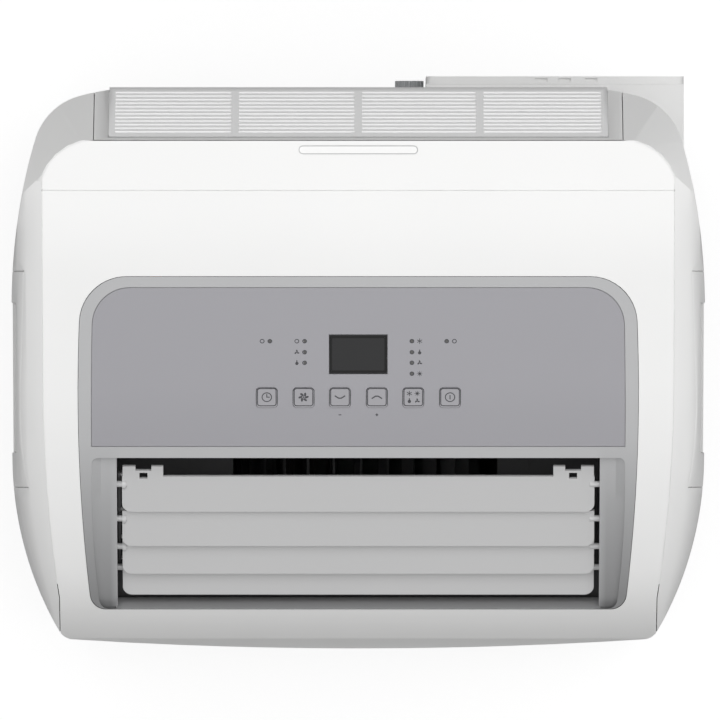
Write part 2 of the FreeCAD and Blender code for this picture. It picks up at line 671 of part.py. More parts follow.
def exhaust_duct():
    """Square box behind the hose port, with a foot over the condenser blower's outlet."""
    x0, x1 = EXHAUST_X
    size = x1 - x0
    y0, y1 = y_at(EXHAUST_DEPTH), BACK_Y + FLANGE_OUT - FLANGE_THICK
    foot_y0 = COND_HOUSE_Y[0]
    t = DUCT_SHEET
    foot_x1 = COND_HOUSE_X[1]
    foot_top = TRAY_Z - 2.0
    outer = box(x0, x1, y0, y1, EXHAUST_Z, EXHAUST_Z + size)
    foot = box(x0, foot_x1, foot_y0, y0 + 1, EXHAUST_Z, foot_top)
    inner = box(x0 + t, x1 - t, y0 + t, y1 - t, EXHAUST_Z + t, EXHAUST_Z + size - t)
    port = rod(EXHAUST_BORE_R, ((x0 + x1) / 2, y0 + 10, EXHAUST_Z + size / 2), (0, 1, 0), 80)
    throat = box(x0 + t, foot_x1 - t, foot_y0 + t, y0 + t + 1, EXHAUST_Z + t, foot_top - t)
    mouth = box(x0 + t, foot_x1 - t, foot_y0 + t, COND_HOUSE_Y[1] - t, EXHAUST_Z - 1, EXHAUST_Z + t + 1)
    return outer.fuse(foot).cut(inner).cut(port).cut(throat).cut(mouth).removeSplitter()


def exhaust_flange():
    """Hose flange with its round port, collar and latch slots."""
    x0, x1 = EXHAUST_X
    size = x1 - x0
    y0, y1 = BACK_Y + FLANGE_OUT - FLANGE_THICK, BACK_Y + FLANGE_OUT
    plate = box(x0, x1, y0, y1, EXHAUST_Z, EXHAUST_Z + size)
    plate = plate.makeFillet(4.0, [e for e in plate.Edges if e.BoundBox.YLength > 1.0])
    centre = ((x0 + x1) / 2, y0 - COLLAR_DEEP, EXHAUST_Z + size / 2)
    inner_r = EXHAUST_BORE_R - COLLAR_WALL
    collar = tube(EXHAUST_BORE_R - FIT, inner_r, centre, (0, 1, 0), COLLAR_DEEP + FLANGE_THICK / 2)
    plate = plate.cut(rod(inner_r, centre, (0, 1, 0), 2 * size)).fuse(collar)
    top = EXHAUST_Z + size
    slots = [box(x - LATCH_WIDE / 2, x + LATCH_WIDE / 2, y0 + 1.4, y1 - 1.2, top - LATCH_DEEP, top + 1)
             for x in LATCH_X]
    return cut(plate, slots).removeSplitter()


def drain_spout():
    """Spout of the drip tray, from its rear rim to the drain cap."""
    start = (CAP_X, TRAY_BACK_Y - 3.0, CAP_Z)
    length = BACK_Y + 0.6 - start[1]
    return (rod(SPOUT_R, start, (0, 1, 0), length),
            rod(SPOUT_R - SPOUT_WALL, (start[0], start[1] - 1, start[2]), (0, 1, 0), length + 2))


def drain_cap():
    """Knurled push-on cap."""
    body = rod(CAP_R, (CAP_X, BACK_Y + 0.8, CAP_Z), (0, 1, 0), CAP_OUT - 0.8)
    plug = rod(SPOUT_R - SPOUT_WALL - RUN_FIT, (CAP_X, BACK_Y - 8, CAP_Z), (0, 1, 0), 9.0)
    flutes = []
    for i in range(CAP_FLUTES):
        turn = 2 * math.pi * i / CAP_FLUTES
        x, z = CAP_X + CAP_R * math.cos(turn), CAP_Z + CAP_R * math.sin(turn)
        flutes.append(rod(0.9, (x, BACK_Y, z), (0, 1, 0), CAP_OUT + 1))
    return cut(body, flutes).fuse(plug).removeSplitter()


def cord_gland():
    """Grommet where a supply cord would enter; it is bare."""
    y = BACK_Y
    collar = rod(GLAND_R, (GLAND_X, y, GLAND_Z), (0, 1, 0), 6.0)
    neck = rod(GLAND_R - 2.0, (GLAND_X, y - WALL - 1.5, GLAND_Z), (0, 1, 0), WALL + 2.0)
    return collar.fuse(neck).cut(rod(3.6, (GLAND_X, y - 10, GLAND_Z), (0, 1, 0), 30)).removeSplitter()


# ---- Control panel ----------------------------------------------------------------------------

def key_hole(x, grow, z0, z1):
    return on_slope(slab(KEY / 2 + grow, KEY / 2 + grow, z0, z1, KEY_CORNER + grow), x, KEY_DEPTH)


def window_prism(grow=0.0):
    return box(-WINDOW_HALF_X - grow, WINDOW_HALF_X + grow, y_at(WINDOW_DEPTH + WINDOW_HALF_D) - grow,
               y_at(WINDOW_DEPTH - WINDOW_HALF_D) + grow, 0, CROWN_Z)


def light_rod(x, depth, radius):
    return on_slope(rod(radius, (0, 0, -BOARD_UNDER), (0, 0, 1), BOARD_UNDER - OVERLAY_SINK), x, depth)


def control_bezel():
    """Frame round the controls and the louvres, with the flared outlet moulded into it."""
    outline = bezel_outline()
    rim = layer(0.0, BEZEL_THICK).common(outline)
    recess = overlay_outline(FIT).common(under_top(0).cut(under_top(OVERLAY_UNDER + 0.1)))
    mouth = plan_prism(OUTLET_TOP, OUTLET_END, OUTLET_HALVES, 4.0, 6.0)
    block = layer(BEZEL_THICK - 1.0, FUNNEL_DEEP).common(outline)
    block = block.common(depth_slab(OVERLAY_END + 1.0, BEZEL_END))
    bezel = rim.cut(recess).fuse(block).cut(mouth)
    outer_x = OUTLET_HALVES[0] + 1.0
    ledge_x = OUTLET_HALVES[0] - OUTLET_LEDGE
    steep = under_top(0.0, ledge_x, (outer_x - ledge_x, 0, LEDGE_DEEP), LEDGE_DEEP)
    gentle = under_top(0.0, DUCT_HALF, (ledge_x - DUCT_HALF, 0, DUCT_DEEP - LEDGE_DEEP), DUCT_DEEP)
    ledges = [steep, gentle, mirrored(steep), mirrored(gentle)]
    z0, z1 = z_at(DUCT_FRONT) - DUCT_FRONT_DEEP, z_at(OUTLET_END)
    y0, y1 = y_at(DUCT_FRONT), y_at(OUTLET_END)
    ledges.append(prism([(-DUCT_HALF - 1, y0, z0), (-DUCT_HALF - 1, y1, z1), (-DUCT_HALF - 1, y1, 0),
                         (-DUCT_HALF - 1, y0, 0)], (2 * DUCT_HALF + 2, 0, 0)))
    inside = mouth.common(under_top(0.0).cut(under_top(FUNNEL_DEEP)))
    bezel = bezel.fuse([ledge.common(inside) for ledge in ledges])
    holes = [key_hole(x, 1.0, -30, 10) for x in KEY_X]
    holes += [light_rod(x, d, LIGHT_R + 0.6) for x, d in LIGHTS]
    holes.append(window_prism(-2.0))
    holes += [rod(PIN_R + RUN_FIT, (side * BLADE_HALF, *pivot), (side, 0, 0), PIN_LONG + 0.6)
              for pivot in blade_pivots() for side in (-1, 1)]
    posts = [on_slope(rod(POST_R, (sx * (BOARD_HALF_X - 5), sd * (BOARD_HALF_D - 5), -BOARD_UNDER),
                          (0, 0, 1), BOARD_UNDER - BEZEL_THICK + 1), 0.0, BOARD_DEPTH)
             for sx in (-1, 1) for sd in (-1, 1)]
    return cut(bezel, holes).fuse(posts).removeSplitter()


def control_overlay():
    """Face plate of the controls."""
    sheet = layer(OVERLAY_SINK, OVERLAY_UNDER).common(overlay_outline())
    holes = [key_hole(x, KEY_GAP, -30, 10) for x in KEY_X]
    holes += [light_rod(x, d, LIGHT_R + 0.1) for x, d in LIGHTS]
    holes.append(window_prism(0.2))
    return cut(sheet, holes)


def display_window():
    return layer(OVERLAY_SINK - 0.2, OVERLAY_UNDER).common(window_prism())


def indicator_lights():
    return Part.makeCompound([light_rod(x, d, LIGHT_R) for x, d in LIGHTS])


def control_board():
    """Circuit board on the bezel's posts, with the display block standing on it."""
    board = slab(BOARD_HALF_X, BOARD_HALF_D, -BOARD_UNDER - BOARD_THICK, -BOARD_UNDER)
    middle = BOARD_DEPTH - WINDOW_DEPTH
    display = box(-15.0, 15.0, middle - 9.5, middle + 9.5, -BOARD_UNDER, -OVERLAY_UNDER - 1.5)
    return on_slope(Part.makeCompound([board, display]), 0.0, BOARD_DEPTH)


def key_cap(x):
    """Push key: a square cap on a stem that reaches its switch on the board."""
    cap = slab(KEY / 2, KEY / 2, KEY_PROUD - KEY_CAP, KEY_PROUD, KEY_CORNER)
    cap = cap.makeFillet(0.4, [e for e in cap.Edges if e.BoundBox.ZMin > KEY_PROUD - 0.01])
    stem = slab(KEY_STEM / 2, KEY_STEM / 2, -BOARD_UNDER + KEY_TRAVEL + 0.2, KEY_PROUD - KEY_CAP + 0.5)
    return on_slope(cap.fuse(stem).removeSplitter(), x, KEY_DEPTH)


# ---- Louvres ----------------------------------------------------------------------------------

def blade_pivots():
    """Y and Z of each blade's pins."""
    reach = BLADE_CHORD - BLADE_PIVOT
    lean = rad(BLADE_ANGLE)
    return [(y_at(d) + reach * math.cos(lean), z_at(d) - sink + reach * math.sin(lean))
            for d, sink in zip(BLADE_EDGES, BLADE_SINKS)]


def crank_offset():
    """From a pivot to its crank pin; square to the row of pivots at mid travel."""
    return CRANK_R * math.cos(rad(CRANK_LEAN)), CRANK_R * math.sin(rad(CRANK_LEAN))


def drive_pivot():
    y, z = blade_pivots()[1]
    return y + DRIVE_ARM * math.cos(rad(DRIVE_LEAN)), z + DRIVE_ARM * math.sin(rad(DRIVE_LEAN))


def lobe(inner_x, pivot):
    """Crank web from a pivot to its crank pin, with the pin pointing to the left."""
    dy, dz = crank_offset()
    y, z = pivot
    ends = [rod(CRANK_LOBE_R, (inner_x, y + k * dy, z + k * dz), (-1, 0, 0), CRANK_THICK) for k in (0, 1)]
    wide = CRANK_LOBE_R / CRANK_R
    a, b = (y - wide * dz, z + wide * dy), (y + wide * dz, z - wide * dy)
    web = prism([(inner_x, *a), (inner_x, *b), (inner_x, b[0] + dy, b[1] + dz),
                 (inner_x, a[0] + dy, a[1] + dz)], (-CRANK_THICK, 0, 0))
    pin = rod(CRANK_PIN_R, (inner_x, y + dy, z + dz), (-1, 0, 0), CRANK_THICK + LINK_GAP + LINK_THICK)
    return ends + [web, pin]


def louver_blade(index):
    """One blade with its end pins and crank."""
    y, z = blade_pivots()[index]
    tail = BLADE_CHORD - BLADE_PIVOT
    plate = box(-BLADE_HALF, BLADE_HALF, -tail, BLADE_PIVOT, -BLADE_THICK / 2, BLADE_THICK / 2)
    corners = [e for e in plate.Edges if upright(e) and e.BoundBox.YMin < 0]
    plate = plate.makeFillet(BLADE_CORNER, corners)
    if index == 0:
        for side in (-1, 1):
            x0, x1 = sorted(side * x for x in TAB_X)
            n0, n1 = sorted(side * x for x in TAB_NOTCH_X)
            edge = BLADE_PIVOT + TAB_LONG
            tab = box(x0, x1, BLADE_PIVOT - 1, edge, -BLADE_THICK / 2, BLADE_THICK / 2)
            notch = box(n0, n1, edge - 3.0, edge + 1, -5, 5)
            window = box(n0 + 2.5, n1 - 2.5, BLADE_PIVOT - 1.5, edge - 4.6, -5, 5)
            plate = plate.fuse(tab).cut(notch).cut(window)
    plate.rotate(Vector(0, 0, 0), Vector(1, 0, 0), BLADE_ANGLE)
    plate.translate(Vector(0, y, z))
    pins = [rod(PIN_R, (side * (BLADE_HALF - 3), y, z), (side, 0, 0), PIN_LONG + 3) for side in (-1, 1)]
    return fuse([plate] + pins + lobe(-BLADE_HALF + CRANK_THICK, (y, z)))


def louver_link():
    """Bar that joins every crank pin."""
    x = -BLADE_HALF - LINK_GAP
    dy, dz = crank_offset()
    points = [(y + dy, z + dz) for y, z in blade_pivots()]
    drive = (drive_pivot()[0] + dy, drive_pivot()[1] + dz)
    spans = list(zip(points, points[1:])) + [(points[1], drive)]
    solids = [rod(LINK_R, (x, *p), (-1, 0, 0), LINK_THICK) for p in points + [drive]]
    for (y0, z0), (y1, z1) in spans:
        length = math.hypot(y1 - y0, z1 - z0)
        ny, nz = -(z1 - z0) / length * LINK_R * 0.8, (y1 - y0) / length * LINK_R * 0.8
        solids.append(prism([(x, y0 + ny, z0 + nz), (x, y1 + ny, z1 + nz), (x, y1 - ny, z1 - nz),
                             (x, y0 - ny, z0 - nz)], (-LINK_THICK, 0, 0)))
    holes = [rod(CRANK_PIN_R + RUN_FIT, (x + 1, *p), (-1, 0, 0), 5.0) for p in points + [drive]]
    return cut(fuse(solids), holes)


def louver_crank():
    """Crank on the louvre motor's shaft."""
    y, z = drive_pivot()
    shaft = rod(PIN_R, (-BLADE_HALF + CRANK_THICK, y, z), (-1, 0, 0),
                CRANK_THICK + DUCT_HALF - BLADE_HALF + DUCT_WALL + 8.0)
    return fuse(lobe(-BLADE_HALF + CRANK_THICK, (y, z)) + [shaft])


def louver_motor():
    """Stepper motor outside the duct's left wall."""
    y, z = drive_pivot()
    x = -DUCT_HALF - DUCT_WALL
    body = rod(MOTOR_R, (x, y, z), (-1, 0, 0), MOTOR_LONG)
    ears = box(x - 1.0, x, y - MOTOR_R - 4, y + MOTOR_R + 4, z - 6, z + 2)
    bore = rod(PIN_R + RUN_FIT, (x + 1, y, z), (-1, 0, 0), 10.0)
    return body.fuse(ears).cut(bore).removeSplitter()


def outlet_duct():
    """Duct from the evaporator blower up to the louvres."""
    half = DUCT_HALF + DUCT_WALL
    y0, y1 = y_at(DUCT_FRONT) - DUCT_WALL, y_at(OUTLET_TOP) + DUCT_WALL
    outer = box(-half, half, y0, y1, DUCT_BOTTOM_Z, CROWN_Z).common(under_top(FUNNEL_DEEP + FIT))
    inner = box(-DUCT_HALF, DUCT_HALF, y0 + DUCT_WALL, y1 - DUCT_WALL, DUCT_BOTTOM_Z + SHEET, CROWN_Z)
    mouth = box(-EVAP_HOUSE_HALF + SHEET, EVAP_HOUSE_HALF - SHEET, EVAP_HOUSE_Y[0] + SHEET,
                min(EVAP_HOUSE_Y[1], y1) - SHEET, DUCT_BOTTOM_Z - 1, DUCT_BOTTOM_Z + SHEET + 1)
    y, z = drive_pivot()
    shaft = rod(PIN_R + RUN_FIT, (-half - 1, y, z), (1, 0, 0), DUCT_WALL + 2)
    pins = [rod(PIN_R + RUN_FIT, (side * BLADE_HALF, *pivot), (side, 0, 0), PIN_LONG + 0.6)
            for pivot in blade_pivots() for side in (-1, 1)]
    return cut(outer, [inner, mouth, shaft] + pins)


# ---- Machine ----------------------------------------------------------------------------------

def coil(half, y0, y1, z0, z1):
    """Finned heat exchanger: end plates, fin pack and return bends."""
    pack = box(-half + 2, half - 2, y0 + 1, y1 - 1, z0 + 2, z1)
    plates = [box(s * half - (2 if s > 0 else 0), s * half + (0 if s > 0 else 2), y0, y1, z0, z1)
              for s in (-1, 1)]
    grooves = []
    z = z0 + 14.0
    while z < z1 - 10:
        grooves.append(box(-half + 2.5, half - 2.5, y0, y0 + 2.2, z, z + 1.2))
        z += 25.0
    return fuse([cut(pack, grooves)] + plates)


def blower(fan, y0, y1):
    """Centrifugal blower wheel on its shaft, axis along Y."""
    x, z, radius = fan
    back = rod(radius, (x, y0, z), (0, 1, 0), 2.0)
    ring = tube(radius, radius - 9.0, (x, y1 - 2.0, z), (0, 1, 0), 2.0)
    hub = rod(FAN_SHAFT_R + 7.0, (x, y0, z), (0, 1, 0), 18.0)
    vanes = []
    for i in range(FAN_BLADES):
        vane = box(radius - 11.0, radius - 1.5, y0 + 1.5, y1 - 1.5, -0.8, 0.8)
        vane.rotate(Vector(radius - 6.0, 0, 0), Vector(0, 1, 0), FAN_SWIRL * 2)
        vane.rotate(Vector(0, 0, 0), Vector(0, 1, 0), 360.0 * i / FAN_BLADES)
        vane.translate(Vector(x, 0, z))
        vanes.append(vane)
    return fuse([back, ring, hub] + vanes)


def fan_motor(fan, y1):
    """Motor with its shaft, its face against the housing at y1."""
    x, z, _ = fan
    body = rod(FAN_MOTOR_R, (x, y1 - FAN_MOTOR_LONG, z), (0, 1, 0), FAN_MOTOR_LONG)
    body = body.makeFillet(5.0, [e for e in body.Edges if e.BoundBox.YMax < y1 - FAN_MOTOR_LONG + 1])
    lugs = box(x - FAN_MOTOR_R - 8, x + FAN_MOTOR_R + 8, y1 - 3.0, y1, z - 8, z + 8)
    bore = rod(FAN_SHAFT_R + RUN_FIT, (x, y1 - 14, z), (0, 1, 0), 20)
    return body.fuse(lugs).cut(bore).removeSplitter()


def fan_shaft(fan, y0, y1):
    x, z, _ = fan
    return rod(FAN_SHAFT_R, (x, y0, z), (0, 1, 0), y1 - y0)


def housing(fan, x0, x1, y0, y1, z0, z1, mouth):
    """Blower casing with a round inlet at the back and an outlet in the top."""
    x, z, radius = fan
    t = SHEET
    outer = box(x0, x1, y0, y1, z0, z1)
    chamber = rod(radius + 9.0, (x, y0 + t, z), (0, 1, 0), y1 - y0 - 2 * t)
    riser = box(mouth[0], mouth[1], y0 + t, y1 - t, z, z1 + 1)
    inlet = rod(radius - 12.0, (x, y1 - t - 1, z), (0, 1, 0), 10)
    shaft = rod(FAN_SHAFT_R + 2.0, (x, y0 - 1, z), (0, 1, 0), 10)
    return outer.cut(chamber).cut(riser).cut(inlet).cut(shaft)


def drip_tray():
    """Shelf that carries the cold side and catches its water."""
    plate = inside_plan(WALL + FIT, TRAY_Z, TRAY_Z + TRAY_RIM)
    plate = plate.common(box(-WIDTH, WIDTH, -WIDTH, TRAY_BACK_Y, 0, CROWN_Z))
    hollow = inside_plan(WALL + FIT + 3.0, TRAY_Z + TRAY_THICK, CROWN_Z)
    hollow = hollow.common(box(-WIDTH, WIDTH, -WIDTH, TRAY_BACK_Y - 3.0, 0, CROWN_Z))
    hole = rod(PIPE_R + 2.0, (suction_x(), COMPRESSOR_AT[1], TRAY_Z - 1), (0, 0, 1), 10)
    spout, bore = drain_spout()
    return plate.cut(hollow).cut(hole).fuse(spout).cut(bore).removeSplitter()


def suction_x():
    return COMPRESSOR_AT[0] - 26.0


def compressor():
    """Rotary compressor with domed ends on a three-armed foot plate."""
    x, y = COMPRESSOR_AT
    z0, z1 = COMPRESSOR_Z
    can = rod(COMPRESSOR_R, (x, y, z0), (0, 0, 1), z1 - z0)
    rims = [e for e in can.Edges if e.BoundBox.ZLength < 1e-3]
    can = can.makeFillet(22.0, rims)
    plate = rod(FOOT_RING + 10.0, (x, y, z0 - 5.0), (0, 0, 1), 7.0)
    side = rod(17.0, (x - COMPRESSOR_R - 12, y + 30, z0 + 24), (0, 0, 1), 110.0)
    return can.fuse(plate).fuse(side).fuse(box(x - COMPRESSOR_R - 12, x - COMPRESSOR_R + 20, y + 24, y + 36,
                                               z0 + 60, z0 + 100)).removeSplitter()


def compressor_feet():
    x, y = COMPRESSOR_AT
    feet = []
    for turn in (90, 210, 330):
        at = (x + FOOT_RING * math.cos(rad(turn)), y + FOOT_RING * math.sin(rad(turn)), BASE_Z + BASE_FLOOR)
        feet.append(rod(FOOT_R, at, (0, 0, 1), COMPRESSOR_Z[0] - 5.0 - at[2]))
    return Part.makeCompound(feet)


def pipe(points, bend):
    """Round pipe along straight runs joined by tangent arcs."""
    vectors = [Vector(*p) for p in points]
    edges = []
    start = vectors[0]
    for before, corner, after in zip(vectors, vectors[1:], vectors[2:]):
        a = (before - corner).normalize()
        b = (after - corner).normalize()
        half = a.getAngle(b) / 2
        cut_back = bend / math.tan(half)
        p, q = corner + a * cut_back, corner + b * cut_back
        centre = corner + (a + b).normalize() * (bend / math.sin(half))
        middle = centre + (corner - centre).normalize() * bend
        edges += [Part.makeLine(start, p), Part.Arc(p, middle, q).toShape()]
        start = q
    edges.append(Part.makeLine(start, vectors[-1]))
    ring = Part.Wire(Part.makeCircle(PIPE_R, vectors[0], vectors[1] - vectors[0]))
    return Part.Wire(edges).makePipeShell([ring], True, False)


def refrigerant_pipes():
    x, y = COMPRESSOR_AT
    top = COMPRESSOR_Z[1]
    hot = pipe([(x + 20, y, top), (x + 20, y, 272), (x + 20, COND_Y[0], 272)], 18.0)
    z = TRAY_Z + 26.0
    cold = pipe([(suction_x(), y, top), (suction_x(), y, z), (suction_x(), EVAP_Y[0], z)], 18.0)
    return Part.makeCompound([hot, cold])


def electrical_box():
    """Box for the main board, hung under the drip tray."""
    t = SHEET
    outer = box(*BOX_X, *BOX_Y, *BOX_Z)
    inner = box(BOX_X[0] + t, BOX_X[1] - t, BOX_Y[0] + t, BOX_Y[1] - t, BOX_Z[0] + t, BOX_Z[1] - t)
    return outer.cut(inner)


# ---- Castors ----------------------------------------------------------------------------------

def castor_spots():
    """Name, x and y of each castor's swivel; a wheel trails behind it."""
    return [("%s_%s" % (end, side), sx * CASTOR_X, sy * CASTOR_Y - TRAIL / 2)
            for sx, side in ((-1, "left"), (1, "right")) for sy, end in ((-1, "front"), (1, "rear"))]


def castor_fork(x, y):
    """Swivelling fork: stem, yoke and two cheeks, trailing towards the back."""
    stem = rod(STEM_R, (x, y, BASE_Z - YOKE - 0.5), (0, 0, 1), YOKE + 12.0)
    yoke = rod(WHEEL_WIDE / 2 + CHEEK_GAP + CHEEK + 2, (x, y, BASE_Z - YOKE - 0.3), (0, 0, 1), YOKE)
    half = WHEEL_WIDE / 2 + CHEEK_GAP
    axle_y = y + TRAIL
    cheeks = []
    for side in (-1, 1):
        x0, x1 = sorted((x + side * half, x + side * (half + CHEEK)))
        cheeks.append(prism([(x0, y - 8, BASE_Z - 1.0), (x0, y + 8, BASE_Z - 1.0),
                             (x0, axle_y + 7, WHEEL_R + 3), (x0, axle_y + 6, WHEEL_R - 6),
                             (x0, axle_y - 6, WHEEL_R - 6)], (x1 - x0, 0, 0)))
    head = box(x - half - 1, x + half + 1, y - 8, y + 8, BASE_Z - YOKE - 0.3, BASE_Z - 0.3)
    fork = fuse([stem, yoke, head] + cheeks)
    lid = box(x - 30, x + 30, y - 30, y + 30, BASE_Z - 0.3, BASE_Z + 20).cut(
        rod(STEM_R, (x, y, BASE_Z - 1), (0, 0, 1), 30))
    return fork.cut(lid).cut(rod(AXLE_R, (x - 20, axle_y, WHEEL_R), (1, 0, 0), 40))


def castor_axle(x, y):
    half = WHEEL_WIDE / 2 + CHEEK_GAP + CHEEK
    return rod(AXLE_R, (x - half, y + TRAIL, WHEEL_R), (1, 0, 0), 2 * half)


def castor_wheel(x, y):
    x0 = x - WHEEL_WIDE / 2
    wheel = tube(WHEEL_R, AXLE_R + RUN_FIT, (x0, y + TRAIL, WHEEL_R), (1, 0, 0), WHEEL_WIDE)
    rims = [e for e in wheel.Edges
            if abs(e.BoundBox.ZLength - 2 * WHEEL_R) < 0.1 and e.BoundBox.XLength < 1e-3]
    return wheel.makeFillet(2.5, rims)


# ---- Assembly ---------------------------------------------------------------------------------

def build():
    pieces = casing_shells()
    handle = handle_insert()
    pieces.update(handle_right=handle, handle_left=mirrored(handle), base_pan=base_pan(),
                  intake_grille=intake_grille(), intake_filter=intake_filter(),
                  condenser_grille=condenser_grille(), exhaust_duct=exhaust_duct(),
                  exhaust_flange=exhaust_flange(), drain_cap=drain_cap(),
                  cord_gland=cord_gland(), cover_screws=cover_screws(),
                  control_bezel=control_bezel(), control_overlay=control_overlay(),
                  display_window=display_window(), indicator_lights=indicator_lights(),
                  control_board=control_board(), louver_link=louver_link(),
                  louver_crank=louver_crank(), louver_motor=louver_motor(), outlet_duct=outlet_duct())
    for name, x in zip(KEY_NAMES, KEY_X):
        pieces["key_" + name] = key_cap(x)
    for index in range(len(BLADE_EDGES)):
        pieces["louver_blade_%d" % (index + 1)] = louver_blade(index)

    floor = BASE_Z + BASE_FLOOR
    pieces["evaporator_coil"] = coil(EVAP_HALF, *EVAP_Y, TRAY_Z + TRAY_THICK, EVAP_TOP_Z)
    pieces["condenser_coil"] = coil(COND_HALF, *COND_Y, floor, COND_TOP_Z)
    radius = EVAP_FAN[2]
    y0, y1 = EVAP_HOUSE_Y
    shaft = fan_shaft(EVAP_FAN, y0 - 10, y0 + 12)
    pieces["evaporator_blower"] = blower(EVAP_FAN, y0 + 8, y1 - 6).fuse(shaft).removeSplitter()
    pieces["evaporator_motor"] = fan_motor(EVAP_FAN, y0)
    half = EVAP_HOUSE_HALF
    pieces["evaporator_housing"] = housing(EVAP_FAN, -half, half, y0, y1, TRAY_Z + TRAY_THICK,
                                           DUCT_BOTTOM_Z, (-radius, radius + 9.0))
    y0, y1 = COND_HOUSE_Y
    shaft = fan_shaft(COND_FAN, y0 - 10, y0 + 12)
    pieces["condenser_blower"] = blower(COND_FAN, y0 + 8, y1 - 6).fuse(shaft).removeSplitter()
    pieces["condenser_motor"] = fan_motor(COND_FAN, y0)
    pieces["condenser_housing"] = housing(COND_FAN, *COND_HOUSE_X, y0, y1, floor, EXHAUST_Z,
                                          (EXHAUST_X[0] + DUCT_SHEET, COND_HOUSE_X[1] - DUCT_SHEET))
    pieces.update(drip_tray=drip_tray(), compressor=compressor(), compressor_feet=compressor_feet(),
                  refrigerant_pipes=refrigerant_pipes(), electrical_box=electrical_box())
    for place, x, y in castor_spots():
        pieces["castor_fork_" + place] = castor_fork(x, y)
        pieces["castor_axle_" + place] = castor_axle(x, y)
        pieces["castor_wheel_" + place] = castor_wheel(x, y)
    return pieces


os.makedirs("parts", exist_ok=True)
for node, shape in build().items():
    shape.exportStep("parts/%s.step" % node)
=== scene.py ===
"""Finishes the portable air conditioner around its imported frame: panels, controls, louvres,
grilles, machine parts and castors, each with its own procedural finish, and the studio that shows
them."""

import json
import math

import bmesh
import bpy
from bpy.props import FloatProperty, FloatVectorProperty, IntProperty, PointerProperty
from mathutils import Matrix, Vector
from mathutils.bvhtree import BVHTree


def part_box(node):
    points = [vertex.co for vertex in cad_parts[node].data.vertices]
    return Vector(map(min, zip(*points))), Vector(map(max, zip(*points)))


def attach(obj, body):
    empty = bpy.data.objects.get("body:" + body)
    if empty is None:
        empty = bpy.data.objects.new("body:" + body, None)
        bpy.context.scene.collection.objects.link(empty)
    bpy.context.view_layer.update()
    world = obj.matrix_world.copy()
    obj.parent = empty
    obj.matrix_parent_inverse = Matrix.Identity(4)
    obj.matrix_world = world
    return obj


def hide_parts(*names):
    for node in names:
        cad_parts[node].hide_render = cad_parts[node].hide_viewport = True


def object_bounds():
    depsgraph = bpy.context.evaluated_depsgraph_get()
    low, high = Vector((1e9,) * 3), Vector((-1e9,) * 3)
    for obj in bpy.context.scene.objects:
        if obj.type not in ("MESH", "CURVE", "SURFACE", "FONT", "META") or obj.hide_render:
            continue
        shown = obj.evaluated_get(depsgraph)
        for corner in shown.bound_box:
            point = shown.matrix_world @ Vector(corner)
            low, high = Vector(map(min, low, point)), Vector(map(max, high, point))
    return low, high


bl_info = {
    "name": "Portable Air Conditioner Finisher",
    "version": (1, 0, 0),
    "blender": (4, 5, 0),
    "location": "View3D > Sidebar > Aircon",
    "description": "Models and finishes the visible pieces of a portable air conditioner",
    "category": "Object",
}

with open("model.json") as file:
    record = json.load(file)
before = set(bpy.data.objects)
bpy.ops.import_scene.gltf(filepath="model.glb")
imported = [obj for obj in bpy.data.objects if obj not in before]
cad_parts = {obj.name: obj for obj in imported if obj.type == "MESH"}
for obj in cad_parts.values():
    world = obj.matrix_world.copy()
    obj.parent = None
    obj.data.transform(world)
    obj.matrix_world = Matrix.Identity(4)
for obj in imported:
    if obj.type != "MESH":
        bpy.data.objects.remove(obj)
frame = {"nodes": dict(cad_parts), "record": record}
CAD_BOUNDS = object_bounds()
NODES = frame["nodes"]
BODY_OF = {node: body for body, nodes in frame["record"]["behaviour"]["bodies"].items()
           for node in nodes}
SLOT_OF = {part["node"]: part["material_slot"] for part in frame["record"]["subparts"]}
MM = 0.001
DOWN = Vector((0.0, 0.0, -1.0))
ABOVE = 2.0                  # height from which a surface below is looked for
CONTROL_SLOPE = 21.0         # lean of the control face, in degrees
SMALL_SYMBOL = 1.8 * MM      # half the size of the symbols beside the lights and on the mode key


def tint(name, description, colour):
    """Colour property with a plain description."""
    return FloatVectorProperty(name=name, description=description, default=colour, size=3,
                               min=0.0, max=1.0, subtype="COLOR")


def length(name, description, millimetres):
    """Length property, given in millimetres and held in metres."""
    return FloatProperty(name=name, description=description, default=millimetres * MM,
                         min=0.0, unit="LENGTH", precision=5)


# ---- Settings ---------------------------------------------------------------------------------

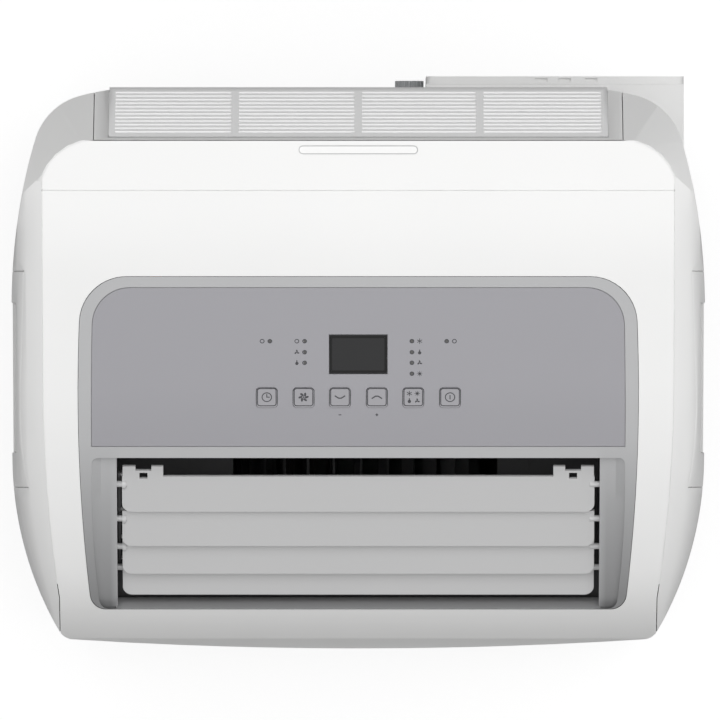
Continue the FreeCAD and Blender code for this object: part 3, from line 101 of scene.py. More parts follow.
class AIRCON_PG_finish(bpy.types.PropertyGroup):
    """Colours of the plastics, prints and metals."""
    shell: tint("Shell", "White of the outer panels", (0.85, 0.85, 0.845))
    grille: tint("Grilles", "White of the slatted grilles", (0.88, 0.88, 0.88))
    net: tint("Filter net", "Pale threads of the filter net", (0.82, 0.825, 0.83))
    bezel: tint("Bezel", "Grey of the frame round controls and louvres", (0.44, 0.442, 0.448))
    overlay: tint("Control face", "Grey of the control face plate", (0.325, 0.321, 0.343))
    keys: tint("Keys", "Grey of the key caps", (0.335, 0.33, 0.35))
    print: tint("Print", "Dark grey of symbols printed on the controls", (0.035, 0.035, 0.04))
    window: tint("Window", "Smoked display window", (0.038, 0.038, 0.039))
    border: tint("Window border", "Black printed round the display window", (0.01, 0.01, 0.01))
    light_pipe: tint("Small lights", "Dark clear plastic of the unlit lights", (0.09, 0.088, 0.085))
    # Painted shadow: grey of a thin ring printed round the finger scoop's edge, standing for its
    # shade
    scoop_shadow: tint("Scoop bead", "Grey of the bead round the finger scoop", (0.4, 0.4, 0.405))
    louver: tint("Louvres", "Grey of the louvre blades", (0.51, 0.51, 0.512))
    duct: tint("Duct", "Dark grey inside the outlet", (0.06, 0.06, 0.062))
    cap: tint("Drain cap", "Grey of the knurled drain cap", (0.35, 0.36, 0.37))
    gland: tint("Cord gland", "Dark grey of the cord's grommet", (0.1, 0.1, 0.105))
    screw: tint("Screws", "Zinc of the screws and the castors' axles", (0.6, 0.6, 0.62))
    # Painted shade: grey in the net's gaps stands for the shaded space behind the net
    net_gap_shade: tint("Net gaps", "Grey between the filter's threads", (0.3, 0.3, 0.31))
    fins: tint("Fins", "Aluminium of the coils' fins", (0.74, 0.75, 0.76))
    # Painted shade in the gaps between the coils' fins
    fin_gap_shade: tint("Fin gaps", "Dark between the coils' fins", (0.12, 0.12, 0.125))
    motor: tint("Motors", "Steel of the motors and the electrical box", (0.42, 0.43, 0.45))
    copper: tint("Pipes", "Copper of the refrigerant pipes", (0.72, 0.37, 0.22))
    enamel: tint("Compressor", "Black enamel of the compressor", (0.012, 0.012, 0.013))
    rubber: tint("Compressor feet", "Rubber of the compressor's feet", (0.02, 0.02, 0.02))
    board: tint("Circuit board", "Green of the circuit board", (0.045, 0.2, 0.09))
    track: tint("Tracks", "Darker green between the board's tracks", (0.02, 0.12, 0.05))
    castor: tint("Castors", "Near black of the castor mouldings", (0.02, 0.02, 0.022))
    tread: tint("Treads", "Rubber of the castors' wheels", (0.035, 0.035, 0.036))
    # Painted shade in the wheels' grooves
    groove_shade: tint("Tread grooves", "Dark in the wheels' grooves", (0.015, 0.015, 0.015))
    # Painted shade: share of the bezel's grey taken away at the outlet's sides, towards the front
    painted_outlet_shade: FloatProperty(name="Outlet shade", description="Share of its grey that the bezel "
                                "loses at the outlet's sides, at the front", default=0.5,
                                min=0.0, max=1.0, subtype="FACTOR")


class AIRCON_PG_sizes(bpy.types.PropertyGroup):
    """Sizes that the finished pieces add to the frame."""
    panel_edge: length("Panel edge", "Rounding of the outer panels' edges", 0.5)
    bezel_edge: length("Bezel edge", "Rounding of the bezel's edges", 0.6)
    blade_edge: length("Blade edge", "Rounding of the louvre blades' edges", 0.85)
    small_edge: length("Small edge", "Rounding of small mouldings", 0.25)
    icon_line: length("Icon line", "Line width of the key symbols", 0.62)
    print_high: length("Print height", "Thickness of printed symbols", 0.08)
    seam_deep: length("Seam depth", "From the surface to the tongue in a panel seam", 0.9)
    seam_wide: length("Seam width", "Width of the tongue in a panel seam", 0.6)
    tongue_thick: length("Tongue thickness", "Thickness of the tongue in a panel seam", 0.8)
    # Width of the painted shadow line round the finger scoop
    scoop_shadow_line: length("Liner line", "Width of the bead round the finger scoop", 0.5)
    window_border: length("Window border", "Width of the black border printed on the window", 1.5)
    net_under: length("Net depth", "From the slatted slope's surface to the net", 3.2)
    key_margin: length("Key margin", "From a key's edge to its printed outline", 0.35)
    key_corner: length("Key corner", "Corner radius of a key", 2.2)
    lamp_ring: length("Light ring", "Radius of the printed ring beside a small light", 1.5)
    lamp_symbol_away: length("Light symbol distance", "From a small light to its symbol", 4.9)
    mark_away: length("Mark distance", "From a key's lower edge to its minus or plus", 4.6)
    edge_steps: IntProperty(name="Edge steps", description="Segments of a rounded edge",
                            default=2, min=1, max=4)


class AIRCON_PG_studio(bpy.types.PropertyGroup):
    """Camera and lights."""
    camera_high: FloatProperty(name="Camera height",
                               description="Height of the camera above the floor",
                               default=16.0, min=2.0, unit="LENGTH")
    seen_width: FloatProperty(name="Seen width",
                              description="Width seen at the casing's widest line",
                              default=0.4568, min=0.1, unit="LENGTH")
    sky: FloatProperty(name="Sky", description="Strength of the even light all round",
                       default=0.2, min=0.0)
    overhead: FloatProperty(name="Overhead light", description="Power of the large lamp overhead",
                            default=94.0, min=0.0, unit="POWER")
    front_fill: FloatProperty(name="Front light", description="Power of the low lamp in front",
                              default=6.0, min=0.0, unit="POWER")
    side_share: FloatProperty(name="Side share", description="Share of the lamps' light that the "
                              "smaller lamp at the right gives", default=0.05, min=0.0, max=1.0,
                              subtype="FACTOR")


def settings():
    scene = bpy.context.scene
    return scene.aircon_finish, scene.aircon_sizes, scene.aircon_studio


# ---- Shader node groups -----------------------------------------------------------------------

GLOSS_SPREAD = 0.08          # how far the roughness of metals and threads goes either way
THREAD_FLANK = 0.2           # share of a thread's height over which its colour comes up
SURFACE_OUTPUTS = [("Color", "NodeSocketColor"), ("Roughness", "NodeSocketFloat"),
                   ("Normal", "NodeSocketVector")]


def new_group(name, inputs, outputs):
    """Empty shader group with sockets given as (name, kind, default)."""
    tree = bpy.data.node_groups.new(name, "ShaderNodeTree")
    for label, kind, default in inputs:
        socket = tree.interface.new_socket(label, in_out="INPUT", socket_type=kind)
        socket.default_value = default
    for label, kind in outputs:
        tree.interface.new_socket(label, in_out="OUTPUT", socket_type=kind)
    return tree, tree.nodes.new("NodeGroupInput"), tree.nodes.new("NodeGroupOutput")


def object_place(tree):
    """Object coordinates of the point that is shaded."""
    return tree.nodes.new("ShaderNodeTexCoord").outputs["Object"]


def scaled(tree, colour, share):
    """Colour times a share."""
    node = tree.nodes.new("ShaderNodeVectorMath")
    node.operation = "SCALE"
    tree.links.new(colour, node.inputs[0])
    tree.links.new(share, node.inputs["Scale"])
    return node.outputs[0]


def noise(tree, vector, scale, detail=3.0, roughness=0.55):
    """Noise from 0 to 1, with its scale in cells to the metre."""
    node = tree.nodes.new("ShaderNodeTexNoise")
    node.inputs["Scale"].default_value = scale
    node.inputs["Detail"].default_value = detail
    node.inputs["Roughness"].default_value = roughness
    tree.links.new(vector, node.inputs["Vector"])
    return node.outputs["Fac"]


def remap(tree, value, low, high):
    """Map a value from 0..1 to low..high, where either end may be a socket."""
    node = tree.nodes.new("ShaderNodeMapRange")
    tree.links.new(value, node.inputs["Value"])
    for name, end in (("To Min", low), ("To Max", high)):
        if isinstance(end, (int, float)):
            node.inputs[name].default_value = end
        else:
            tree.links.new(end, node.inputs[name])
    return node.outputs["Result"]


def calc(tree, operation, first, second=0.0):
    """Math node on two values, where either may be a socket."""
    node = tree.nodes.new("ShaderNodeMath")
    node.operation = operation
    for socket, value in zip(node.inputs, (first, second)):
        if isinstance(value, (int, float)):
            socket.default_value = value
        else:
            tree.links.new(value, socket)
    return node.outputs[0]


def moulding_group():
    """Moulded plastic: faint clouding of the colour, uneven gloss and a fine spark-eroded grain."""
    tree, given, out = new_group(
        "moulded_surface",
        [("Color", "NodeSocketColor", (0.8, 0.8, 0.8, 1.0)), ("Clouding", "NodeSocketFloat", 0.015),
         ("Roughness", "NodeSocketFloat", 0.4), ("Gloss Spread", "NodeSocketFloat", 0.06),
         ("Grain Scale", "NodeSocketFloat", 1400.0), ("Grain Depth", "NodeSocketFloat", 0.02)],
        SURFACE_OUTPUTS)
    place = object_place(tree)
    cloud = noise(tree, place, scale=9.0, detail=4.0)
    most = given.outputs["Clouding"]
    shade = remap(tree, cloud, calc(tree, "MULTIPLY", most, -1.0), most)
    colour = scaled(tree, given.outputs["Color"], calc(tree, "ADD", shade, 1.0))
    tree.links.new(colour, out.inputs["Color"])
    smear = remap(tree, noise(tree, place, scale=34.0, detail=5.0, roughness=0.7), -1.0, 1.0)
    uneven = calc(tree, "MULTIPLY", smear, given.outputs["Gloss Spread"])
    tree.links.new(calc(tree, "ADD", uneven, given.outputs["Roughness"]), out.inputs["Roughness"])
    grain = tree.nodes.new("ShaderNodeTexNoise")
    grain.inputs["Detail"].default_value = 2.0
    tree.links.new(place, grain.inputs["Vector"])
    tree.links.new(given.outputs["Grain Scale"], grain.inputs["Scale"])
    bump = tree.nodes.new("ShaderNodeBump")
    bump.inputs["Distance"].default_value = 0.0002
    tree.links.new(given.outputs["Grain Depth"], bump.inputs["Strength"])
    tree.links.new(grain.outputs["Fac"], bump.inputs["Height"])
    tree.links.new(bump.outputs["Normal"], out.inputs["Normal"])
    return tree


def brushed_group():
    """Drawn or rolled metal: streaks along one direction in its colour, gloss and surface."""
    tree, given, out = new_group(
        "rolled_metal",
        [("Color", "NodeSocketColor", (0.7, 0.7, 0.7, 1.0)), ("Streaks", "NodeSocketFloat", 0.12),
         ("Roughness", "NodeSocketFloat", 0.35),
         ("Stretch", "NodeSocketVector", (900.0, 900.0, 25.0))],
        SURFACE_OUTPUTS)
    drawn = tree.nodes.new("ShaderNodeVectorMath")
    drawn.operation = "MULTIPLY"
    tree.links.new(object_place(tree), drawn.inputs[0])
    tree.links.new(given.outputs["Stretch"], drawn.inputs[1])
    streak = noise(tree, drawn.outputs[0], scale=1.0, detail=3.0)
    darkest = calc(tree, "SUBTRACT", 1.0, given.outputs["Streaks"])
    colour = scaled(tree, given.outputs["Color"], remap(tree, streak, darkest, 1.0))
    tree.links.new(colour, out.inputs["Color"])
    uneven = remap(tree, streak, -GLOSS_SPREAD, GLOSS_SPREAD)
    tree.links.new(calc(tree, "ADD", uneven, given.outputs["Roughness"]), out.inputs["Roughness"])
    bump = tree.nodes.new("ShaderNodeBump")
    bump.inputs["Strength"].default_value = 0.15
    bump.inputs["Distance"].default_value = 0.0001
    tree.links.new(streak, bump.inputs["Height"])
    tree.links.new(bump.outputs["Normal"], out.inputs["Normal"])
    return tree


def threads_group():
    """Threads or fins in up to two directions, each vector giving their number in a metre."""
    tree, given, out = new_group(
        "fine_threads",
        [("Color", "NodeSocketColor", (0.8, 0.8, 0.8, 1.0)),
         ("Gap Color", "NodeSocketColor", (0.1, 0.1, 0.1, 1.0)), ("Gap", "NodeSocketFloat", 0.4),
         ("Across", "NodeSocketVector", (500.0, 0.0, 0.0)),
         ("Along", "NodeSocketVector", (0.0, 0.0, 0.0)),
         ("Roughness", "NodeSocketFloat", 0.5), ("Depth", "NodeSocketFloat", 0.3)],
        SURFACE_OUTPUTS)
    place = object_place(tree)
    ridges = []
    for label in ("Across", "Along"):
        dot = tree.nodes.new("ShaderNodeVectorMath")
        dot.operation = "DOT_PRODUCT"
        tree.links.new(place, dot.inputs[0])
        tree.links.new(given.outputs[label], dot.inputs[1])
        away = calc(tree, "SUBTRACT", calc(tree, "FRACT", dot.outputs["Value"]), 0.5)
        ridges.append(calc(tree, "MULTIPLY_ADD", calc(tree, "ABSOLUTE", away), -2.0))
        ridges[-1].node.inputs[2].default_value = 1.0
    height = calc(tree, "MAXIMUM", *ridges)
    body = tree.nodes.new("ShaderNodeMapRange")
    tree.links.new(height, body.inputs["Value"])
    tree.links.new(given.outputs["Gap"], body.inputs["From Min"])
    tree.links.new(calc(tree, "ADD", given.outputs["Gap"], THREAD_FLANK), body.inputs["From Max"])
    # The gap colour fills the gaps: painted shade in the fins', net's and grooves' gaps, the
    # board's own colour between its tracks
    mix = tree.nodes.new("ShaderNodeMix")
    mix.data_type = "RGBA"
    tree.links.new(body.outputs["Result"], mix.inputs["Factor"])
    tree.links.new(given.outputs["Gap Color"], mix.inputs["A"])
    tree.links.new(given.outputs["Color"], mix.inputs["B"])
    tree.links.new(mix.outputs["Result"], out.inputs["Color"])
    smear = remap(tree, noise(tree, place, scale=40.0), -GLOSS_SPREAD, GLOSS_SPREAD)
    tree.links.new(calc(tree, "ADD", smear, given.outputs["Roughness"]), out.inputs["Roughness"])
    bump = tree.nodes.new("ShaderNodeBump")
    bump.inputs["Distance"].default_value = 0.0003
    tree.links.new(given.outputs["Depth"], bump.inputs["Strength"])
    tree.links.new(body.outputs["Result"], bump.inputs["Height"])
    tree.links.new(bump.outputs["Normal"], out.inputs["Normal"])
    return tree


def painted_shade_group():
    """Painted shade: darker colour at both sides of a recess, growing from Start to End along Y."""
    tree, given, out = new_group(
        "painted_recess_shade",
        [("Color", "NodeSocketColor", (0.5, 0.5, 0.5, 1.0)), ("Darkening", "NodeSocketFloat", 0.5),
         ("Start", "NodeSocketFloat", -0.05), ("End", "NodeSocketFloat", -0.15),
         ("Side Start", "NodeSocketFloat", 0.15), ("Side End", "NodeSocketFloat", 0.158)],
        [("Color", "NodeSocketColor")])
    place = tree.nodes.new("ShaderNodeSeparateXYZ")
    tree.links.new(object_place(tree), place.inputs[0])
    shares = []
    for value, ends in ((place.outputs["Y"], ("Start", "End")),
                        (calc(tree, "ABSOLUTE", place.outputs["X"]), ("Side Start", "Side End"))):
        ramp = tree.nodes.new("ShaderNodeMapRange")
        tree.links.new(value, ramp.inputs["Value"])
        tree.links.new(given.outputs[ends[0]], ramp.inputs["From Min"])
        tree.links.new(given.outputs[ends[1]], ramp.inputs["From Max"])
        shares.append(ramp.outputs["Result"])
    loss = calc(tree, "MULTIPLY", calc(tree, "MULTIPLY", *shares), given.outputs["Darkening"])
    colour = scaled(tree, given.outputs["Color"], calc(tree, "SUBTRACT", 1.0, loss))
    tree.links.new(colour, out.inputs["Color"])
    return tree


def shared_group(name, maker):
    """The group of that name, made when it is first asked for."""
    return bpy.data.node_groups.get(name) or maker()


# ---- Materials --------------------------------------------------------------------------------

def blank_material(name):
    """Material with a Principled shader, and that shader."""
    material = bpy.data.materials.new(name)
    material.use_nodes = True
    return material, material.node_tree.nodes["Principled BSDF"]


def group_material(name, group, values, metallic=0.0, specular=0.5):
    """Material fed by a shared surface group; its name differs from the frame's own materials."""
    name += "_finish"
    if name in bpy.data.materials:
        return bpy.data.materials[name]
    material, shader = blank_material(name)
    tree = material.node_tree
    node = tree.nodes.new("ShaderNodeGroup")
    node.node_tree = group
    for label, value in values.items():
        node.inputs[label].default_value = value
    for label, socket in (("Color", "Base Color"), ("Roughness", "Roughness"),
                          ("Normal", "Normal")):
        tree.links.new(node.outputs[label], shader.inputs[socket])
    shader.inputs["Metallic"].default_value = metallic
    shader.inputs["Specular IOR Level"].default_value = specular
    return material


def plastic(name, colour, roughness=0.42, grain=0.05, specular=0.5):
    """Moulded plastic or printing ink."""
    return group_material(name, shared_group("moulded_surface", moulding_group), {
        "Color": (*colour, 1.0), "Roughness": roughness, "Grain Depth": grain}, specular=specular)


def shell_plastic():
    """White plastic of the outer panels."""
    return plastic("white_shell", settings()[0].shell, roughness=0.5, specular=0.25)


def shaded(material, darkening):
    """The same material with painted shade: darker at both sides of the outlet towards the front.
    """
    tree = material.node_tree
    base = tree.nodes["Principled BSDF"].inputs["Base Color"]
    node = tree.nodes.new("ShaderNodeGroup")
    node.node_tree = shared_group("painted_recess_shade", painted_shade_group)
    node.inputs["Darkening"].default_value = darkening
    tree.links.new(base.links[0].from_socket, node.inputs["Color"])
    tree.links.new(node.outputs["Color"], base)
    return material


def metal(name, colour, roughness=0.35):
    """Drawn or rolled metal."""
    return group_material(name, shared_group("rolled_metal", brushed_group), {
        "Color": (*colour, 1.0), "Roughness": roughness}, metallic=1.0)


def threads(name, colour, gap_colour, gap, across, along=(0.0, 0.0, 0.0), roughness=0.5, depth=0.3,
            metallic=0.0):
    """Threads, fins or grooves; across and along give their number in a metre."""
    return group_material(name, shared_group("fine_threads", threads_group), {
        "Color": (*colour, 1.0), "Gap Color": (*gap_colour, 1.0), "Gap": gap, "Across": across,
        "Along": along, "Roughness": roughness, "Depth": depth}, metallic=metallic)


# ---- Meshes -----------------------------------------------------------------------------------

SAME_PLACE = 1e-6            # m, corners nearer than this are one
SAME_PLANE = 0.03            # degrees, faces nearer than this are one
ROUNDED_FROM = 30.0          # degrees, edges sharper than this are rounded
SHARP_FROM = 32.0            # degrees, edges sharper than this stay sharp in the stand-ins
PRINT_SHARP = 1.0            # degrees, so that the ink's edges stay sharp
HALVINGS = 18                # steps of the search for a panel's edge


def new_object(name, bm, material, smooth_angle=35.0):
    """Object at the origin from a bmesh, smooth but for edges sharper than the angle."""
    mesh = bpy.data.meshes.new(name)
    bm.normal_update()
    for face in bm.faces:
        face.smooth = True
    limit = math.radians(smooth_angle)
    for edge in bm.edges:
        edge.smooth = len(edge.link_faces) == 2 and edge.calc_face_angle(math.pi) < limit
    bm.to_mesh(mesh)
    bm.free()
    mesh.materials.append(material)
    piece = bpy.data.objects.new(name, mesh)
    bpy.context.scene.collection.objects.link(piece)
    evened = piece.modifiers.new("even_shading", "WEIGHTED_NORMAL")
    evened.keep_sharp = True
    return piece


def settle(piece, body, slot_name, *replaced):
    """Let a piece ride its body and stand for the CAD nodes it replaces; the slot name is not used.
    """
    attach(piece, body)
    if replaced:
        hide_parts(*replaced)


def merged_copy(node):
    """The CAD node's mesh as a clean bmesh: doubles merged and flat faces joined."""
    bm = bmesh.new()
    bm.from_mesh(NODES[node].data)
    bmesh.ops.remove_doubles(bm, verts=bm.verts, dist=SAME_PLACE)
    bmesh.ops.dissolve_limit(bm, angle_limit=math.radians(SAME_PLANE), verts=bm.verts,
                             edges=bm.edges, delimit={"NORMAL"})
    return bm


def round_edges(bm, width, steps):
    """Round every sharp edge."""
    bm.normal_update()
    limit = math.radians(ROUNDED_FROM)
    sharp = [edge for edge in bm.edges
             if len(edge.link_faces) == 2 and edge.calc_face_angle(0.0) > limit]
    bmesh.ops.bevel(bm, geom=sharp, offset=width, offset_type="OFFSET", segments=steps, profile=0.5,
                    affect="EDGES", clamp_overlap=True, material=-1)


def refine(node, material, width):
    """Stand-in for a CAD node with the same form, rounded edges and smooth shading."""
    bm = merged_copy(node)
    if width:
        round_edges(bm, width, settings()[1].edge_steps)
    piece = new_object(node + "_moulding", bm, material, SHARP_FROM)
    settle(piece, BODY_OF[node], SLOT_OF[node], node)


def top_of(node):
    """Search tree over a CAD node's surface."""
    bm = bmesh.new()
    bm.from_mesh(NODES[node].data)
    tree = BVHTree.FromBMesh(bm)
    bm.free()
    return tree


def below(tree, x, y):
    """Place and normal of the surface below (x, y), which has to be there."""
    place, normal = tree.ray_cast(Vector((x, y, ABOVE)), DOWN)[:2]
    if place is None:
        raise RuntimeError("nothing lies below %.4f, %.4f" % (x, y))
    return place, normal


def seat(tree, x, y):
    """Frame on the surface below (x, y): X to the right, Y up the slope, Z out of the surface."""
    place, normal = below(tree, x, y)
    right = normal.cross(Vector((1.0, 0.0, 0.0)).cross(normal).normalized())
    axes = Matrix((right, normal.cross(right), normal))
    return Matrix.Translation(place) @ axes.transposed().to_4x4()


def panel_edge(tree, y, inside, outside):
    """X at which a panel ends, between an X that is over it and one that isn't."""
    for _ in range(HALVINGS):
        middle = (inside + outside) / 2
        if tree.ray_cast(Vector((middle, y, ABOVE)), DOWN)[0] is None:
            outside = middle
        else:
            inside = middle
    return inside


def tongue(bm, path, wide, thick):
    """Flat tongue along a path of places, as wide as a seam, thickened downwards."""
    made = bmesh.ops.create_grid(bm, x_segments=len(path) - 1, y_segments=1, size=0.5)
    columns = sorted({round(v.co.x, 6) for v in made["verts"]})
    for vert in made["verts"]:
        index = columns.index(round(vert.co.x, 6))
        run = path[min(index + 1, len(path) - 1)] - path[max(index - 1, 0)]
        across = Vector((-run.y, run.x, 0.0)).normalized() * wide / 2
        vert.co = path[index] + (across if vert.co.y > 0.0 else -across)
    faces = list({face for vert in made["verts"] for face in vert.link_faces})
    lower = bmesh.ops.extrude_face_region(bm, geom=faces)
    moved = [item for item in lower["geom"] if isinstance(item, bmesh.types.BMVert)]
    bmesh.ops.translate(bm, verts=moved, vec=(0.0, 0.0, -thick))
    bmesh.ops.recalc_face_normals(bm, faces=bm.faces)


def disc(bm, x, y, radius, long=1.0, turn=0.0):
    """Flat disc, or an ellipse where long isn't one."""
    place = (Matrix.Translation((x, y, 0.0)) @ Matrix.Rotation(math.radians(turn), 4, "Z")
             @ Matrix.Diagonal((long, 1.0, 1.0, 1.0)))
    bmesh.ops.create_circle(bm, cap_ends=True, radius=radius, segments=16, matrix=place)


def ring(bm, x, y, radius, width, segments=28):
    """Flat ring."""
    made = bmesh.ops.create_circle(bm, cap_ends=True, radius=radius, segments=segments,
                                   matrix=Matrix.Translation((x, y, 0.0)))
    hollow_out(bm, made["verts"][0].link_faces[0], width)


def hollow_out(bm, face, width):
    """Leave only a border of a flat face."""
    bmesh.ops.inset_region(bm, faces=[face], thickness=width, use_boundary=True,
                           use_even_offset=True)
    bmesh.ops.delete(bm, geom=[face], context="FACES")


def bar(bm, start, end, width):
    """Flat straight stroke from start to end."""
    start, end = Vector((*start, 0.0)), Vector((*end, 0.0))
    run = end - start
    place = (Matrix.Translation((start + end) / 2)
             @ run.to_track_quat("X", "Z").to_matrix().to_4x4()
             @ Matrix.Diagonal((run.length / 2, width / 2, 1.0, 1.0)))
    bmesh.ops.create_grid(bm, x_segments=1, y_segments=1, size=1.0, matrix=place)


def rounded_outline(bm, wide, deep, corner, width):
    """Border of a rounded rectangle, wide by deep over all."""
    made = bmesh.ops.create_grid(bm, x_segments=1, y_segments=1, size=0.5,
                                 matrix=Matrix.Diagonal((wide, deep, 1.0, 1.0)))
    face = made["verts"][0].link_faces[0]
    done = bmesh.ops.bevel(bm, geom=list(face.verts), offset=corner, offset_type="OFFSET",
                           segments=5, profile=0.5, affect="VERTICES", material=-1)
    face = max((f for v in done["verts"] for f in v.link_faces), key=lambda f: f.calc_area())
    hollow_out(bm, face, width)


def printed(flat, target, place):
    """Move a flat drawing from its own sheet onto the surface, with the thickness of the ink."""
    high = settings()[1].print_high
    faces = flat.faces[:]
    for face in faces:
        if face.normal.z < 0.0:
            face.normal_flip()
    raised = bmesh.ops.extrude_face_region(flat, geom=faces)
    top = [item for item in raised["geom"] if isinstance(item, bmesh.types.BMVert)]
    bmesh.ops.translate(flat, verts=top, vec=(0.0, 0.0, high))
    bmesh.ops.translate(flat, verts=flat.verts, vec=(0.0, 0.0, -high / 4))
    bmesh.ops.recalc_face_normals(flat, faces=flat.faces)
    bmesh.ops.transform(flat, matrix=place, verts=flat.verts)
    mesh = bpy.data.meshes.new("drawing")
    flat.to_mesh(mesh)
    flat.free()
    target.from_mesh(mesh)
    bpy.data.meshes.remove(mesh)


def paint(node, material):
    """Give a CAD node a material of its own."""
    NODES[node].data.materials.clear()
    NODES[node].data.materials.append(material)


# ---- Symbols ----------------------------------------------------------------------------------

SYMBOL_RADIUS = 3.3 * MM     # of the round key symbols
MINUTE_HAND = 2.1 * MM
HOUR_HAND = 1.9 * MM
FAN_REACH = 2.0 * MM         # from the hub to the middle of a fan symbol's blade
FAN_BLADE = 0.72 * MM        # half the width of that blade
FAN_HUB = 0.55 * MM
BLADE_PITCH = 25             # degrees that a fan symbol's blade leans
CHEVRON_HIGH = 1.1 * MM      # from the middle to the tip
CHEVRON_LOW = 1.0 * MM       # from the middle to the ends
POWER_STROKE = 1.5 * MM      # half the stroke's length
MODE_APART = 2.5 * MM        # from the mode key's middle to each small symbol, both ways
MARK_REACH = 0.9 * MM        # half the length of the minus and of the plus


def turned(degrees, length):
    """Place at that distance from the origin and at that angle."""
    return Matrix.Rotation(math.radians(degrees), 2) @ Vector((length, 0.0))


def clock_symbol(bm, line):
    ring(bm, 0.0, 0.0, SYMBOL_RADIUS, line)
    bar(bm, (0.0, MINUTE_HAND), (0.0, -line / 2), line)
    bar(bm, (line / 2, 0.0), (HOUR_HAND, 0.0), line)


def fan_symbol(bm, _):
    for turn in range(0, 360, 60):
        away = turned(turn, FAN_REACH)
        disc(bm, away.x, away.y, FAN_BLADE, long=1.9, turn=turn + BLADE_PITCH)
    disc(bm, 0.0, 0.0, FAN_HUB)


def chevron(bm, line, up):
    """Wide arrow head, pointing up the slope or down it, with a blunt tip."""
    tip, end, stroke = CHEVRON_HIGH * up, -CHEVRON_LOW * up, line * 1.3
    shoulder, blunt = tip * 0.72, tip * 0.62
    for side in (-1, 1):
        bar(bm, (side * 0.7 * MM, shoulder), (side * SYMBOL_RADIUS, end), stroke)
    bar(bm, (-MARK_REACH, blunt), (MARK_REACH, blunt), stroke)


def rays(bm, x, y, size, turns, width):
    """Strokes through one point at the given angles."""
    for turn in turns:
        ray = turned(turn, size)
        bar(bm, (x - ray.x, y - ray.y), (x + ray.x, y + ray.y), width)


def sun(bm, x, y, size):
    disc(bm, x, y, size * 0.42)
    rays(bm, x, y, size, range(0, 180, 45), size * 0.16)


def snowflake(bm, x, y, size):
    rays(bm, x, y, size, (90, 30, 150), size * 0.24)


def drop(bm, x, y, size):
    disc(bm, x, y - size * 0.25, size * 0.6)
    bar(bm, (x, y), (x, y + size), size * 0.34)


def small_fan(bm, x, y, size):
    for turn in (90, 210, 330):
        away = turned(turn, size * 0.5)
        disc(bm, x + away.x, y + away.y, size * 0.28, long=1.7, turn=turn + 20)


def moon(bm, x, y, size):
    ring(bm, x, y, size * 0.85, size * 0.3, 16)


def mode_symbol(bm, _):
    for draw, x, y in ((snowflake, -1, 1), (sun, 1, 1), (drop, -1, -1), (small_fan, 1, -1)):
        draw(bm, x * MODE_APART, y * MODE_APART, SMALL_SYMBOL)


def power_symbol(bm, line):
    ring(bm, 0.0, 0.0, SYMBOL_RADIUS, line)
    bar(bm, (0.0, -POWER_STROKE), (0.0, POWER_STROKE), line)


SYMBOLS = {"timer": clock_symbol, "fan": fan_symbol, "mode": mode_symbol, "power": power_symbol,
           "down": lambda bm, line: chevron(bm, line, -1),
           "up": lambda bm, line: chevron(bm, line, 1)}


# ---- Studio -----------------------------------------------------------------------------------

FLOOR_REACH = 12.0           # m, from the middle of the floor to its edge
FLOOR_GREY = 0.32
FLOOR_GLOW = 0.8             # added where the camera, gloss or glass sees the floor
WIDEST_UNDER = 0.05          # m, from the side panels' top down to the casing's widest line
CAMERA_OVER = (0.0011, 0.0013)                  # m, where the camera hangs, X and Y


class AIRCON_OT_stage(bpy.types.Operator):
    """Build the floor, the lights and the camera over the machine"""
    bl_idname = "aircon.stage"
    bl_label = "Studio"

    def execute(self, context):
        studio = settings()[2]
        scene = context.scene
        scene.view_settings.view_transform = "Standard"
        bm = bmesh.new()
        bmesh.ops.create_grid(bm, x_segments=1, y_segments=1, size=FLOOR_REACH)
        new_object("studio_floor", bm, floor_material())
        scene.world = sky_world(studio.sky)
        top = CAD_BOUNDS[1][2]
        side_power = studio.overhead * studio.side_share
        for name, power, wide, place, aim_height in (
                ("overhead", studio.overhead, 4.0, (0.15, 0.1, 3.4), top),
                ("right_fill", side_power, 1.6, (2.6, 0.4, 1.9), top),
                ("front_fill", studio.front_fill, 2.4, (0.0, -3.0, 0.8), 0.45)):
            lamp = area_lamp(name, power, wide, Vector(place), Vector((0.0, 0.0, aim_height)))
            scene.collection.objects.link(lamp)
        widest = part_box("side_panel_left")[1].z - WIDEST_UNDER
        data = bpy.data.cameras.new("overhead_view")
        data.sensor_width = 36.0
        data.lens = data.sensor_width * (studio.camera_high - widest) / studio.seen_width
        data.clip_end = 100.0
        camera = bpy.data.objects.new("overhead_view", data)
        camera.location = (*CAMERA_OVER, studio.camera_high)
        scene.collection.objects.link(camera)
        scene.camera = camera
        return {"FINISHED"}


def seen_directly(tree):
    """Mask of what the camera sees, straight or in metal and glass."""
    path = tree.nodes.new("ShaderNodeLightPath")
    mask = path.outputs["Is Camera Ray"]
    for name in ("Is Glossy Ray", "Is Transmission Ray"):
        mask = calc(tree, "MAXIMUM", mask, path.outputs[name])
    return mask


def floor_material():
    """Pale floor that reads white to the camera and still takes shadows."""
    material, shader = blank_material("studio_floor")
    tree = material.node_tree
    shader.inputs["Base Color"].default_value = (FLOOR_GREY, FLOOR_GREY, FLOOR_GREY, 1.0)
    shader.inputs["Roughness"].default_value = 1.0
    shader.inputs["Specular IOR Level"].default_value = 0.0
    shader.inputs["Emission Color"].default_value = (1.0, 1.0, 1.0, 1.0)
    glow = calc(tree, "MULTIPLY", seen_directly(tree), FLOOR_GLOW)
    tree.links.new(glow, shader.inputs["Emission Strength"])
    return material


def sky_world(strength):
    """Even light all round that the camera, gloss and glass see as white."""
    world = bpy.data.worlds.new("studio_sky")
    world.use_nodes = True
    tree = world.node_tree
    background = tree.nodes["Background"]
    level = remap(tree, seen_directly(tree), strength, 1.0)
    tree.links.new(level, background.inputs["Strength"])
    background.inputs["Color"].default_value = (1.0, 1.0, 1.0, 1.0)
    return world


